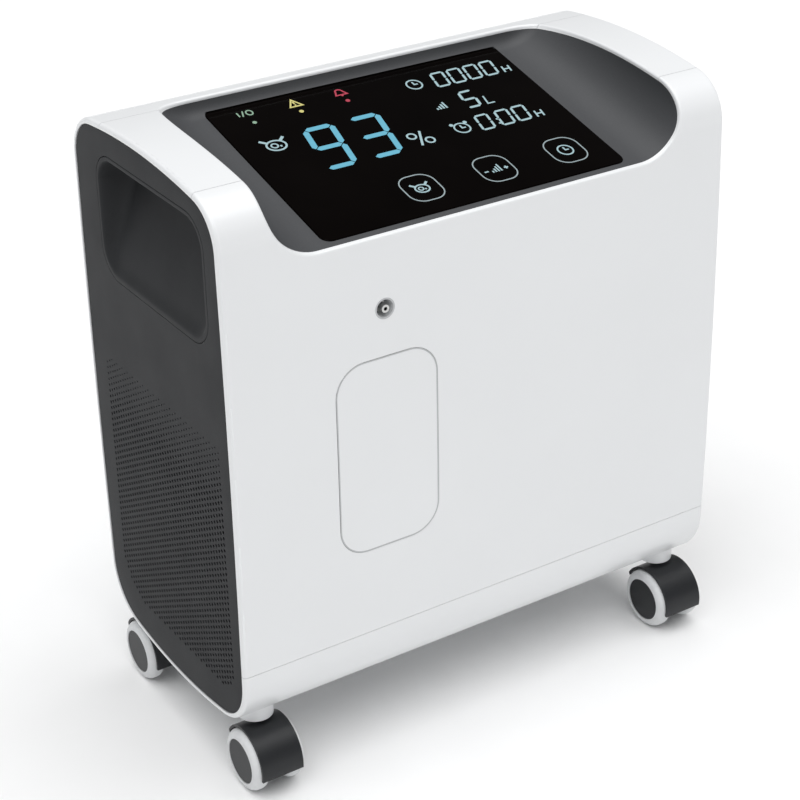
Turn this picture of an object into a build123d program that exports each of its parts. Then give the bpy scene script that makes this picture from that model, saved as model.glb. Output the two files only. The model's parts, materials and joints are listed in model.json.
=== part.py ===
from build123d import *
import os
from math import cos, radians, sin, sqrt, tan

# Home oxygen concentrator on four twin-wheel casters. Millimetres, +Z up, the front faces -Y.
# The origin is on the floor under the middle of the body.

# ---------------------------------------------------------------- driving dimensions
BODY_LENGTH = 430.0  # along X, over the two end rims
BODY_DEPTH = 225.0  # along Y, over the crowned front and rear faces
BODY_BOTTOM = 50.0  # height of the keel line above the floor
BODY_TOP = 486.5  # height of the crest line above the floor

# cross-section of the body, seen from its end
FACE_CROWN = 3.0  # how far the front and rear faces bow out
CREST_Y = 15.0  # the highest line lies a little behind the middle
FRONT_DROP = 14.0  # fall from the crest to the front shoulder
REAR_DROP = 8.0  # fall from the crest to the rear shoulder
KEEL_RISE = 14.0  # rise from the keel to the lower corners
TOP_RADIUS = 36.0
BOTTOM_RADIUS = 46.0
END_EDGE_RADIUS = 3.0  # rounding of the shell's two end rims

WALL = 3.0  # shell wall
RIM_WALL = 4.2  # thicker wall of the end rims
RIM_LENGTH = 9.0
SEAM_GAP = 0.4  # open line between two shells
REVEAL = 0.3  # open line round an inset piece
SEAT = 0.05  # clearance of a piece pushed into its pocket

BASE_SEAM_Z = 110.6  # the base shell ends here
FRONT_SEAM_Y = -79.0  # front seam across the ears
REAR_SEAM_Y = 60.0  # rear seam across the ears

# display trough between the ears
TRAY_SLOPE = 13.8  # degrees, falling towards the front
TRAY_HEIGHT = 454.6  # height of the tray floor at y = 0
TRAY_REAR_Y = 72.0  # rear end of the tray floor
TRAY_HALF_WIDTH = 176.0
TRAY_SIDE_RADIUS = 38.0
TRAY_END_RADIUS = 12.0
TRAY_FLOOR = 4.0
TROUGH_EDGE_RADIUS = 2.0  # rolled edge of the shells round the tray
GLASS_WIDTH = 259.0
GLASS_LENGTH = 176.0
GLASS_THICKNESS = 2.6
GLASS_PROUD = 0.8
GLASS_CORNER = 7.5
GLASS_BEVEL = 0.5
GLASS_REAR_MARGIN = 3.5  # from the tray's rear wall to the glass
BOARD_THICKNESS = 1.6
BOARD_MARGIN = 12.0
BOARD_STANDOFF = 6.0

# end panels, with a finger grip above and a perforated field below
PANEL_THICKNESS = 3.0
PANEL_RECESS = 0.5  # the panel stands this far inside the rim
GRIP_FRONT_Y = -90.0
GRIP_REAR_Y = 73.5
GRIP_BOTTOM_Z = 365.5
GRIP_TOP_Z = 462.0
GRIP_CORNER = 24.0
GRIP_DEPTH = 31.0
GRIP_WALL = 2.4
GRIP_TOE_DEPTH = 3.6  # depth of the cup at its lower edge
GRIP_FLAT = 14.0  # flat back of the cup, under its upper edge
GRIP_FLANGE = 5.0
GRIP_FLANGE_THICKNESS = 1.5
VENT_TOP_Z = 281.0
VENT_BOTTOM_Z = 84.0
VENT_HALF_DEPTH = 88.0
VENT_CORNER = 30.0
VENT_THICKNESS = 2.0
VENT_PITCH = 9.9
VENT_HOLE = 3.1  # circumradius of one opening
VENT_MARGIN = 5.0

# intake filter behind the front cover
COVER_X = -88.5
COVER_WIDTH = 84.9
COVER_BOTTOM_Z = 182.4
COVER_TOP_Z = 336.7
COVER_CORNER = 23.5
HOUSING_DEPTH = 26.0
HOUSING_WALL = 2.0
FOAM_THICKNESS = 14.0
COVER_RING_INSET = 2.0
COVER_RING_WALL = 1.6
COVER_RING_DEPTH = 6.0
HOUSING_PORT_RADIUS = 16.0

# oxygen outlet
OUTLET_Z = 373.2
OUTLET_RING_RADIUS = 8.0
OUTLET_DISH_DEPTH = 8.0
OUTLET_FLANGE = 1.2
NOZZLE_RADIUS = 3.0
NOZZLE_BORE = 1.4
NOZZLE_LENGTH = 8.6
NOZZLE_ROOT_RADIUS = 4.6
NOZZLE_ROOT_LENGTH = 10.0

# rear panel fittings
INLET_X = 150.0
INLET_Z = 160.0
INLET_WIDTH = 31.0
INLET_HEIGHT = 24.0
INLET_DEPTH = 22.0
INLET_FLANGE_WIDTH = 42.0
INLET_FLANGE = 2.4
PLUG_WIDTH = 24.4
PLUG_HEIGHT = 16.4
PLUG_DEPTH = 17.0
PIN_SPACING = 7.0
PIN_WIDTH = 2.0
PIN_HEIGHT = 4.0
PIN_LENGTH = 13.0
SWITCH_X = 150.0
SWITCH_Z = 187.0
SWITCH_WIDTH = 19.0
SWITCH_HEIGHT = 13.0
SWITCH_FRAME = 2.5
SWITCH_TILT = 10.0
SWITCH_WALL = 1.0
SWITCH_CAVITY = 13.0
SWITCH_PIVOT_DEPTH = 2.4  # behind the face of the entry module
ROCKER_GAP = 0.3
ROCKER_TIP_GAP = 1.2  # room for the swing of the rocker's two ends
ROCKER_PIN_RADIUS = 1.2
ROCKER_TAPER = 0.55
ROCKER_FOOT = 2.5
RESET_X = 112.0
RESET_Z = 205.0
RESET_RADIUS = 4.5
RESET_NUT_RADIUS = 8.0
RESET_NECK_RADIUS = 6.0
RESET_TRAVEL = 3.0
RESET_NUT_HEIGHT = 4.0
RESET_BODY_DEPTH = 20.0
RESET_BUTTON_LENGTH = 12.0
RESET_BUTTON_EDGE = 0.8

# casters
CASTER_X = 191.8
CASTER_FRONT_Y = -79.9
CASTER_REAR_Y = 92.0
CASTER_TRAIL = 12.0  # wheel axle in front of the swivel axis
CASTER_WIDTH = 43.0
WHEEL_RADIUS = 24.5
WHEEL_WIDTH = 14.0
TREAD_ROUNDING = 6.0
HUB_CAP_RADIUS = 17.7
HUB_CAP_THICKNESS = 2.4
HUB_CAP_DOME = 0.8
HUB_CAP_RECESS = 0.4  # the cap stands this far inside the wheel's face
AXLE_RADIUS = 3.0
RUNNING_FIT = 0.05
AXLE_END_GAP = 0.3
STEM_RADIUS = 5.0
STEM_BOTTOM_Z = 32.0
STEM_TOP_GAP = 3.0
BOSS_RADIUS = 13.7
BOSS_BOTTOM_Z = 54.5
BOSS_LIFT = 34.0  # depth of the boss inside the base shell
HOOD_WALL = 2.0
HOOD_GAP = 0.8  # between the tread and the hood
HOOD_OVERHANG = 4.2  # how far the wheels stand out of the hood at each side
HOOD_FRONT_ANGLE = 6.0  # degrees below the axle, at the front lip
HOOD_REAR_ANGLE = 48.0  # degrees above the axle, at the rear lip
WEB_GAP = 0.8  # between a wheel and the hood's middle web
WEB_FOOT_Y = 8.0
WEB_FOOT_Z = 4.5
WEB_HEEL_Z = 4.0
WEB_REAR_WALL = 3.0

# working parts
PLATE_Z = 88.0  # top of the chassis plate
PLATE_THICKNESS = 2.0
PLATE_LENGTH = 350.0
PLATE_DEPTH = 160.0
PLATE_CORNER = 10.0
RIB_WIDTH = 6.0
RIB_SPACING = 240.0
MOUNT_RADIUS = 11.0
MOUNT_HEIGHT = 16.0
MOUNT_CHAMFER = 1.5
MOUNT_SPACING_X = 96.0
MOUNT_SPACING_Y = 70.0
COMPRESSOR_X = 24.0
COMPRESSOR_FOOT = 4.0
COMPRESSOR_LENGTH = 118.0
COMPRESSOR_DEPTH = 92.0
MOTOR_RADIUS = 36.0
MOTOR_SINK = 2.0  # the motor barrel is let into its foot
HEAD_WIDTH = 34.0
HEAD_HEIGHT = 58.0
BED_RADIUS = 29.0
BED_HEIGHT = 235.0
BED_X = -90.0
BED_SPACING = 70.0
BED_CAP = 8.0
BED_CAP_LIP = 3.0
TANK_RADIUS = 31.0
TANK_HEIGHT = 190.0
TANK_X = 134.0
TANK_Y = 35.0
TANK_EDGE = 8.0
MANIFOLD_LENGTH = 60.0
MANIFOLD_DEPTH = 116.0
MANIFOLD_HEIGHT = 22.0
MANIFOLD_CORNER = 4.0
SOLENOID_RADIUS = 10.0
SOLENOID_HEIGHT = 26.0
FAN_SIZE = 120.0
FAN_DEPTH = 25.0
FAN_CORNER = 8.0
FAN_DUCT_RADIUS = 57.0
FAN_HUB_RADIUS = 19.0
FAN_BLADES = 7
FAN_BLADE_TIP_GAP = 1.2
FAN_BLADE_THICKNESS = 1.8
FAN_BLADE_PITCH = 34.0
FAN_SPIDER_THICKNESS = 3.0
FAN_SPIDER_WIDTH = 5.0
FAN_X = -150.0
FAN_PIN_RADIUS = 2.0
SUPPLY_LENGTH = 110.0
SUPPLY_HEIGHT = 60.0
SUPPLY_DEPTH = 24.0
SUPPLY_STANDOFF = 2.0  # from the rear wall to the supply
SUPPLY_X = 20.0
SUPPLY_Z = 380.0
CONTROL_LENGTH = 130.0
CONTROL_HEIGHT = 84.0
CONTROL_X = 30.0
CONTROL_Z = 290.0
CHIP_SIZE = 18.0
CHIP_THICKNESS = 3.0
MUFFLER_RADIUS = 16.0
MUFFLER_LENGTH = 90.0
MUFFLER_Y = -40.0
HOSE_RADIUS = 4.0
HOSE_BEND = 20.0
SCREW_RADIUS = 2.0
SCREW_HEAD_RADIUS = 3.6
SCREW_HEAD = 1.6
SCREW_LENGTH = 12.0
SCREW_SPACING_X = 360.0
SCREW_SPACING_Z = 300.0
SCREW_CENTRE_Z = 280.0
SCREW_BOSS_RADIUS = 5.0
SCREW_SOCKET_RADIUS = 1.6
POST_RADIUS = 3.5
POST_MARGIN = 7.0
CONTROL_FACE_Y = 100.0

# ---------------------------------------------------------------- derived places
HALF_LENGTH = BODY_LENGTH / 2
HALF_DEPTH = BODY_DEPTH / 2
CORNER_Y = HALF_DEPTH - FACE_CROWN
MID_Z = (BODY_TOP + BODY_BOTTOM) / 2
PANEL_INSET = RIM_WALL + REVEAL
SLOPE_TAN = tan(radians(TRAY_SLOPE))
SLOPE_UP = Vector(0, cos(radians(TRAY_SLOPE)), sin(radians(TRAY_SLOPE)))
SLOPE_NORMAL = Vector(0, -sin(radians(TRAY_SLOPE)), cos(radians(TRAY_SLOPE)))
TRAY_REAR = Vector(0, TRAY_REAR_Y, TRAY_HEIGHT + TRAY_REAR_Y * SLOPE_TAN)
TROUGH_LENGTH = BODY_DEPTH * 1.4
TROUGH_HEIGHT = BODY_TOP - TRAY_HEIGHT + BODY_DEPTH * SLOPE_TAN
TRAY_PLANE = Plane(origin=TRAY_REAR, x_dir=(1, 0, 0), z_dir=SLOPE_NORMAL)
TROUGH_PLANE = Plane(origin=TRAY_REAR, x_dir=(1, 0, 0), z_dir=-SLOPE_UP)
GLASS_CENTRE_V = -(GLASS_REAR_MARGIN + GLASS_LENGTH / 2)
GRIP_CENTRE_Y = (GRIP_FRONT_Y + GRIP_REAR_Y) / 2
GRIP_CENTRE_Z = (GRIP_BOTTOM_Z + GRIP_TOP_Z) / 2
GRIP_WIDTH = GRIP_REAR_Y - GRIP_FRONT_Y
GRIP_HEIGHT = GRIP_TOP_Z - GRIP_BOTTOM_Z
VENT_CENTRE_Z = (VENT_TOP_Z + VENT_BOTTOM_Z) / 2
VENT_HEIGHT = VENT_TOP_Z - VENT_BOTTOM_Z
COVER_CENTRE_Z = (COVER_BOTTOM_Z + COVER_TOP_Z) / 2
COVER_HEIGHT = COVER_TOP_Z - COVER_BOTTOM_Z
SIDES = {"left": -1, "right": 1}
CASTERS = {
    "front_left": (-CASTER_X, CASTER_FRONT_Y),
    "front_right": (CASTER_X, CASTER_FRONT_Y),
    "rear_left": (-CASTER_X, CASTER_REAR_Y),
    "rear_right": (CASTER_X, CASTER_REAR_Y),
}

os.makedirs("parts", exist_ok=True)


def save(piece, name):
    """Label one finished piece and write it as its own STEP file."""
    piece.part.label = name
    export_step(piece.part, f"parts/{name}.step")


# ---------------------------------------------------------------- shared outlines
def end_outline(x, inset=0.0):
    """The body's cross-section on the plane X = x, drawn in by an inset."""
    low_z = BODY_BOTTOM + KEEL_RISE
    with BuildSketch(Plane.YZ.offset(x)) as outline:
        with BuildLine():
            front_foot = (-CORNER_Y, low_z)
            front_head = (-CORNER_Y, BODY_TOP - FRONT_DROP)
            rear_head = (CORNER_Y, BODY_TOP - REAR_DROP)
            rear_foot = (CORNER_Y, low_z)
            ThreePointArc(front_foot, (-HALF_DEPTH, MID_Z), front_head)
            ThreePointArc(front_head, (CREST_Y, BODY_TOP), rear_head)
            ThreePointArc(rear_head, (HALF_DEPTH, MID_Z), rear_foot)
            ThreePointArc(rear_foot, (CREST_Y, BODY_BOTTOM), front_foot)
        make_face()
        fillet(outline.vertices().sort_by(Axis.Y)[-2:], TOP_RADIUS)
        fillet(outline.vertices().sort_by(Axis.Y)[:2], BOTTOM_RADIUS)
        if inset:
            offset(amount=-inset)
    return outline.sketch


def trough_solid(grow):
    """The hollow over the display tray, with its U section square to the sloping floor."""
    half_width = TRAY_HALF_WIDTH + grow
    with BuildPart() as hollow:
        with BuildSketch(TROUGH_PLANE.offset(-grow)) as section:
            with Locations((0, (TROUGH_HEIGHT - grow) / 2)):
                Rectangle(2 * half_width, TROUGH_HEIGHT + grow)
            fillet(section.vertices().sort_by(Axis.Y)[:2], TRAY_SIDE_RADIUS + grow)
        extrude(amount=TROUGH_LENGTH)
        end_face = hollow.faces().sort_by(Axis.Y)[-1]
        fillet(end_face.edges().sort_by(Axis.Z)[:-1], TRAY_END_RADIUS + grow)
    return hollow.part


def rounded_panel(plane, centre, width, height, radius, grow=0.0):
    """A rounded rectangle on a plane, grown outwards by an even margin."""
    with BuildSketch(plane) as outline:
        with Locations(centre):
            RectangleRounded(width + 2 * grow, height + 2 * grow, radius + grow)
    return outline.sketch


def block(low, high, mode=Mode.ADD):
    """A box between two corners, in the part being built."""
    sizes = [b - a for a, b in zip(low, high)]
    centre = tuple((a + b) / 2 for a, b in zip(low, high))
    with Locations(centre):
        Box(*sizes, mode=mode)


def face_depth(z):
    """Distance from the middle plane to the crowned front or rear face at height z."""
    top_z = BODY_TOP - FRONT_DROP
    low_z = BODY_BOTTOM + KEEL_RISE
    half_chord = (top_z - low_z) / 2
    radius = (half_chord**2 + FACE_CROWN**2) / (2 * FACE_CROWN)
    return HALF_DEPTH - radius + sqrt(radius**2 - (z - (top_z + low_z) / 2) ** 2)


def shell_piece(low, high):
    """The part of the moulded skin that lies in a box."""
    with BuildPart() as piece:
        add(skin.part)
        block(low, high, mode=Mode.INTERSECT)
    return piece.part


# ---------------------------------------------------------------- the moulded skin
with BuildPart() as skin_solid:
    extrude(end_outline(-HALF_LENGTH), amount=BODY_LENGTH)
    fillet(skin_solid.faces().filter_by(Plane.YZ).edges(), END_EDGE_RADIUS)

# the display trough is cut through it, and the cut's outer edge is rolled over
tray_hollow = trough_solid(0)
with BuildPart() as skin:
    add(skin_solid.part)
    add(tray_hollow, mode=Mode.SUBTRACT)
    fillet(skin.edges(Select.NEW), TROUGH_EDGE_RADIUS)
    extrude(end_outline(-HALF_LENGTH, RIM_WALL), amount=BODY_LENGTH, mode=Mode.SUBTRACT)
    room = BODY_LENGTH - 2 * RIM_LENGTH
    extrude(end_outline(-room / 2, WALL), amount=room, mode=Mode.SUBTRACT)

X_SPAN = HALF_LENGTH + 1
Y_SPAN = HALF_DEPTH + 1
Z_SPAN = BODY_TOP + 1
HALF_SEAM = SEAM_GAP / 2
COVER_PLANE = Plane(origin=(0, 0, 0), x_dir=(1, 0, 0), z_dir=(0, -1, 0))
REAR_PLANE = Plane(origin=(0, 0, 0), x_dir=(-1, 0, 0), z_dir=(0, 1, 0))


def front_prism(grow, near, far, mode=Mode.ADD):
    """The filter cover's outline as a prism between two distances in front of the middle."""
    outline = rounded_panel(
        COVER_PLANE.offset(near),
        (COVER_X, COVER_CENTRE_Z),
        COVER_WIDTH,
        COVER_HEIGHT,
        COVER_CORNER,
        grow,
    )
    extrude(outline, amount=far - near, mode=mode)


# ---------------------------------------------------------------- front shell
with BuildPart() as front_shell:
    add(
        shell_piece(
            (-X_SPAN, -Y_SPAN, BASE_SEAM_Z + HALF_SEAM),
            (X_SPAN, FRONT_SEAM_Y - HALF_SEAM, Z_SPAN),
        )
    )
    front_prism(REVEAL, CORNER_Y - FACE_CROWN - WALL, Y_SPAN, mode=Mode.SUBTRACT)
    with BuildSketch(COVER_PLANE.offset(CORNER_Y - FACE_CROWN - WALL)):
        with Locations((COVER_X, OUTLET_Z)):
            Circle(OUTLET_RING_RADIUS + SEAT)
    extrude(amount=2 * (FACE_CROWN + WALL), mode=Mode.SUBTRACT)
save(front_shell, "front_shell")

# ---------------------------------------------------------------- rear shell
# posts inside carry the power supply and the control board, and take the rear screws
SUPPLY_FACE_Y = HALF_DEPTH - WALL - SUPPLY_STANDOFF


def corner_places(x, z, length, height, margin):
    """The four corners of an upright rectangle, each drawn in by a margin."""
    reach_x = length / 2 - margin
    reach_z = height / 2 - margin
    return [(x + sx * reach_x, z + sz * reach_z) for sx in (-1, 1) for sz in (-1, 1)]


SCREW_PLACES = corner_places(0, SCREW_CENTRE_Z, SCREW_SPACING_X, SCREW_SPACING_Z, 0)
SUPPLY_PLACES = corner_places(SUPPLY_X, SUPPLY_Z, SUPPLY_LENGTH, SUPPLY_HEIGHT, POST_MARGIN)
CONTROL_PLACES = corner_places(CONTROL_X, CONTROL_Z, CONTROL_LENGTH, CONTROL_HEIGHT, POST_MARGIN)


def rear_posts(places, inner_y, radius):
    """Round posts on the rear shell, from a plane inside out to the middle of its wall."""
    for x, z in places:
        outer_y = face_depth(z) - WALL / 2
        with BuildSketch(REAR_PLANE.offset(inner_y)) as post:
            with Locations((-x, z)):
                Circle(radius)
        extrude(post.sketch, amount=outer_y - inner_y)


with BuildPart() as rear_shell:
    add(
        shell_piece(
            (-X_SPAN, REAR_SEAM_Y + HALF_SEAM, BASE_SEAM_Z + HALF_SEAM),
            (X_SPAN, Y_SPAN, Z_SPAN),
        )
    )
    rear_posts(SUPPLY_PLACES, SUPPLY_FACE_Y, POST_RADIUS)
    rear_posts(CONTROL_PLACES, CONTROL_FACE_Y, POST_RADIUS)
    rear_posts(SCREW_PLACES, HALF_DEPTH - SCREW_LENGTH - WALL, SCREW_BOSS_RADIUS)
    for x, z in SCREW_PLACES:
        seat_y = face_depth(z) - SCREW_HEAD
        with BuildSketch(REAR_PLANE.offset(seat_y - SCREW_LENGTH)):
            with Locations((-x, z)):
                Circle(SCREW_RADIUS)
        extrude(amount=SCREW_LENGTH, mode=Mode.SUBTRACT)
        with BuildSketch(REAR_PLANE.offset(seat_y)):
            with Locations((-x, z)):
                Circle(SCREW_HEAD_RADIUS + REVEAL)
        extrude(amount=2 * SCREW_HEAD, mode=Mode.SUBTRACT)
    for centre, width, height in (
        ((-INLET_X, INLET_Z), INLET_WIDTH, INLET_HEIGHT),
        ((-SWITCH_X, SWITCH_Z), SWITCH_WIDTH, SWITCH_HEIGHT),
    ):
        with BuildSketch(REAR_PLANE.offset(CORNER_Y - FACE_CROWN - WALL)):
            with Locations(centre):
                Rectangle(width + 2 * SEAT, height + 2 * SEAT)
        extrude(amount=2 * (FACE_CROWN + WALL), mode=Mode.SUBTRACT)
    with BuildSketch(REAR_PLANE.offset(CORNER_Y - FACE_CROWN - WALL)):
        with Locations((-RESET_X, RESET_Z)):
            Circle(RESET_NECK_RADIUS + SEAT)
    extrude(amount=2 * (FACE_CROWN + WALL), mode=Mode.SUBTRACT)
save(rear_shell, "rear_shell")

with BuildPart() as shell_screws:
    for x, z in SCREW_PLACES:
        seat_y = face_depth(z) - SCREW_HEAD
        with BuildSketch(REAR_PLANE.offset(seat_y - SCREW_LENGTH)):
            with Locations((-x, z)):
                Circle(SCREW_RADIUS)
        extrude(amount=SCREW_LENGTH)
        with BuildSketch(REAR_PLANE.offset(seat_y)):
            with Locations((-x, z)):
                Circle(SCREW_HEAD_RADIUS)
                RegularPolygon(SCREW_SOCKET_RADIUS, 6, mode=Mode.SUBTRACT)
        extrude(amount=SCREW_HEAD * 0.75)
save(shell_screws, "shell_screws")

# ---------------------------------------------------------------- ear caps, between the two seams
ears = shell_piece(
    (-X_SPAN, FRONT_SEAM_Y + HALF_SEAM, MID_Z),
    (X_SPAN, REAR_SEAM_Y - HALF_SEAM, Z_SPAN),
)
for side, sign in SIDES.items():
    with BuildPart() as ear_cap:
        add(ears)
        near_x, far_x = sorted((0, sign * X_SPAN))
        block((near_x, -Y_SPAN, 0), (far_x, Y_SPAN, Z_SPAN), Mode.INTERSECT)
    save(ear_cap, f"ear_cap_{side}")

# ---------------------------------------------------------------- base shell
STEM_TOP_Z = BOSS_BOTTOM_Z + BOSS_LIFT - STEM_TOP_GAP
with BuildPart() as base_ribs:
    for x in (-RIB_SPACING / 2, RIB_SPACING / 2):
        extrude(end_outline(x - RIB_WIDTH / 2, WALL / 2), amount=RIB_WIDTH)
    rib_top = PLATE_Z - PLATE_THICKNESS
    block((-X_SPAN, -PLATE_DEPTH / 2, 0), (X_SPAN, PLATE_DEPTH / 2, rib_top), Mode.INTERSECT)

with BuildPart() as base_shell:
    add(shell_piece((-X_SPAN, -Y_SPAN, 0), (X_SPAN, Y_SPAN, BASE_SEAM_Z - HALF_SEAM)))
    add(base_ribs.part)
    for x, y in CASTERS.values():
        with BuildSketch(Plane.XY.offset(BOSS_BOTTOM_Z)):
            with Locations((x, y)):
                Circle(BOSS_RADIUS)
        extrude(amount=BOSS_LIFT)
    for x, y in CASTERS.values():
        with BuildSketch(Plane.XY.offset(BOSS_BOTTOM_Z)):
            with Locations((x, y)):
                Circle(STEM_RADIUS + SEAT)
        extrude(amount=STEM_TOP_Z - BOSS_BOTTOM_Z, mode=Mode.SUBTRACT)
save(base_shell, "base_shell")

# ---------------------------------------------------------------- display
BOARD_LENGTH = GLASS_LENGTH - 2 * BOARD_MARGIN
BOARD_WIDTH = GLASS_WIDTH - 2 * BOARD_MARGIN
POCKET_DEPTH = GLASS_THICKNESS - GLASS_PROUD
with BuildPart() as display_tray:
    add(trough_solid(TRAY_FLOOR))
    add(tray_hollow, mode=Mode.SUBTRACT)
    inner = HALF_LENGTH - RIM_LENGTH - REVEAL
    extrude(end_outline(-inner, WALL + SEAT), amount=2 * inner, mode=Mode.INTERSECT)
    pocket = rounded_panel(
        TRAY_PLANE.offset(-POCKET_DEPTH),
        (0, GLASS_CENTRE_V),
        GLASS_WIDTH,
        GLASS_LENGTH,
        GLASS_CORNER,
        REVEAL,
    )
    extrude(pocket, amount=2 * POCKET_DEPTH, mode=Mode.SUBTRACT)
    with BuildSketch(TRAY_PLANE.offset(-TRAY_FLOOR - BOARD_STANDOFF)):
        with Locations((0, GLASS_CENTRE_V)):
            with GridLocations(BOARD_WIDTH - 2 * POST_MARGIN, BOARD_LENGTH - 2 * POST_MARGIN, 2, 2):
                Circle(POST_RADIUS)
    extrude(amount=BOARD_STANDOFF)
save(display_tray, "display_tray")

with BuildPart() as display_glass:
    plate = rounded_panel(
        TRAY_PLANE.offset(-POCKET_DEPTH),
        (0, GLASS_CENTRE_V),
        GLASS_WIDTH,
        GLASS_LENGTH,
        GLASS_CORNER,
    )
    extrude(plate, amount=GLASS_THICKNESS)
    chamfer(display_glass.faces().sort_by(Axis.Z)[-1].edges(), GLASS_BEVEL)
save(display_glass, "display_glass")

with BuildPart() as display_board:
    with BuildSketch(TRAY_PLANE.offset(-TRAY_FLOOR - BOARD_STANDOFF - BOARD_THICKNESS)):
        with Locations((0, GLASS_CENTRE_V)):
            Rectangle(BOARD_WIDTH, BOARD_LENGTH)
    extrude(amount=BOARD_THICKNESS)
    with BuildSketch(TRAY_PLANE.offset(-TRAY_FLOOR - BOARD_STANDOFF - BOARD_THICKNESS)):
        with Locations((0, GLASS_CENTRE_V)):
            with GridLocations(BOARD_WIDTH / 4, BOARD_LENGTH / 3, 3, 2):
                Rectangle(CHIP_SIZE, CHIP_SIZE)
    extrude(amount=-CHIP_THICKNESS)
save(display_board, "display_board")

# ---------------------------------------------------------------- end panels, grilles and grip cups
COLUMN_PITCH = VENT_PITCH * cos(radians(30))


def vent_places():
    """Centres of the grille's openings: upright columns, every other one half a pitch up."""
    places = []
    columns = int(VENT_HALF_DEPTH / COLUMN_PITCH)
    rows = int(VENT_HEIGHT / 2 / VENT_PITCH) + 1
    reach = VENT_CORNER - VENT_MARGIN
    for column in range(-columns, columns + 1):
        for row in range(-rows, rows + 1):
            y = column * COLUMN_PITCH
            z = (row + 0.5 * (column % 2)) * VENT_PITCH
            over_y = max(0.0, abs(y) - (VENT_HALF_DEPTH - VENT_CORNER))
            over_z = max(0.0, abs(z) - (VENT_HEIGHT / 2 - VENT_CORNER))
            if over_y**2 + over_z**2 <= (reach - VENT_HOLE) ** 2:
                places.append((y, z))
    return places


def side_plane(sign, depth):
    """A plane across an end of the body, some depth in from the rim, facing outwards."""
    return Plane(origin=(sign * (HALF_LENGTH - depth), 0, 0), x_dir=(0, sign, 0), z_dir=(sign, 0, 0))


def grip_outline(sign, depth, grow):
    """The grip pocket's outline at some depth in from the rim."""
    plane = side_plane(sign, depth)
    centre = (sign * GRIP_CENTRE_Y, GRIP_CENTRE_Z)
    return rounded_panel(plane, centre, GRIP_WIDTH, GRIP_HEIGHT, GRIP_CORNER, grow)


def vent_outline(sign, depth, grow):
    """The grille's outline at some depth in from the rim."""
    plane = side_plane(sign, depth)
    centre = (0, VENT_CENTRE_Z)
    return rounded_panel(plane, centre, 2 * VENT_HALF_DEPTH, VENT_HEIGHT, VENT_CORNER, grow)


def grip_wedge(sign, floor_shift):
    """The slice of space over the cup's floor, which slopes out to the panel at its foot."""
    face_x = HALF_LENGTH - PANEL_RECESS
    deep = face_x - GRIP_DEPTH + floor_shift
    toe = face_x - GRIP_TOE_DEPTH + floor_shift
    with BuildPart() as wedge:
        with BuildSketch(Plane.XZ.offset(-Y_SPAN)):
            with BuildLine():
                Polyline(
                    (sign * toe, GRIP_BOTTOM_Z - GRIP_WALL),
                    (sign * deep, GRIP_TOP_Z - GRIP_FLAT),
                    (sign * deep, GRIP_TOP_Z + GRIP_WALL),
                    (sign * X_SPAN, GRIP_TOP_Z + GRIP_WALL),
                    (sign * X_SPAN, GRIP_BOTTOM_Z - GRIP_WALL),
                    close=True,
                )
            make_face()
        extrude(amount=2 * Y_SPAN)
    return wedge.part


PANEL_BACK = PANEL_RECESS + PANEL_THICKNESS
for side, sign in SIDES.items():
    with BuildPart() as side_panel:
        panel_low_x = min(sign * (HALF_LENGTH - PANEL_BACK), sign * (HALF_LENGTH - PANEL_RECESS))
        extrude(end_outline(panel_low_x, PANEL_INSET), amount=PANEL_THICKNESS)
        extrude(grip_outline(sign, PANEL_BACK, REVEAL), amount=PANEL_THICKNESS, mode=Mode.SUBTRACT)
        rebate = vent_outline(sign, PANEL_RECESS + VENT_THICKNESS, REVEAL)
        extrude(rebate, amount=VENT_THICKNESS, mode=Mode.SUBTRACT)
        window = vent_outline(sign, PANEL_BACK, -VENT_MARGIN / 2)
        extrude(window, amount=PANEL_THICKNESS, mode=Mode.SUBTRACT)
    save(side_panel, f"side_panel_{side}")

    with BuildPart() as vent_grille:
        with BuildSketch(side_plane(sign, PANEL_RECESS + VENT_THICKNESS)):
            with Locations((0, VENT_CENTRE_Z)):
                RectangleRounded(2 * VENT_HALF_DEPTH, VENT_HEIGHT, VENT_CORNER)
                with Locations(vent_places()):
                    RegularPolygon(VENT_HOLE, 6, mode=Mode.SUBTRACT)
        extrude(amount=VENT_THICKNESS)
    save(vent_grille, f"vent_grille_{side}")

    with BuildPart() as grip_hollow:
        extrude(grip_outline(sign, PANEL_RECESS + GRIP_DEPTH, -GRIP_WALL), amount=GRIP_DEPTH)
        add(grip_wedge(sign, GRIP_WALL), mode=Mode.INTERSECT)

    with BuildPart() as grip_cup:
        extrude(grip_outline(sign, PANEL_RECESS + GRIP_DEPTH, 0), amount=GRIP_DEPTH)
        add(grip_wedge(sign, 0), mode=Mode.INTERSECT)
        flange_back = PANEL_BACK + GRIP_FLANGE_THICKNESS
        extrude(grip_outline(sign, flange_back, GRIP_FLANGE), amount=GRIP_FLANGE_THICKNESS)
        add(grip_hollow.part, mode=Mode.SUBTRACT)
    save(grip_cup, f"grip_cup_{side}")

# ---------------------------------------------------------------- intake filter
COVER_BACK = CORNER_Y - FACE_CROWN - WALL
SKIN_BACK = HALF_DEPTH - WALL
HOUSING_FRONT = CORNER_Y - WALL
FOAM_FRONT = HOUSING_FRONT - COVER_RING_DEPTH
with BuildPart() as filter_cover:
    add(skin.part)
    front_prism(0, COVER_BACK, Y_SPAN, mode=Mode.INTERSECT)
    front_prism(-COVER_RING_INSET, FOAM_FRONT, SKIN_BACK + WALL / 3)
    ring_hollow = -COVER_RING_INSET - COVER_RING_WALL
    front_prism(ring_hollow, FOAM_FRONT, SKIN_BACK - FACE_CROWN / 3, mode=Mode.SUBTRACT)
save(filter_cover, "filter_cover")

with BuildPart() as intake_filter:
    front_prism(-COVER_RING_INSET, FOAM_FRONT - FOAM_THICKNESS, FOAM_FRONT)
save(intake_filter, "intake_filter")

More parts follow.
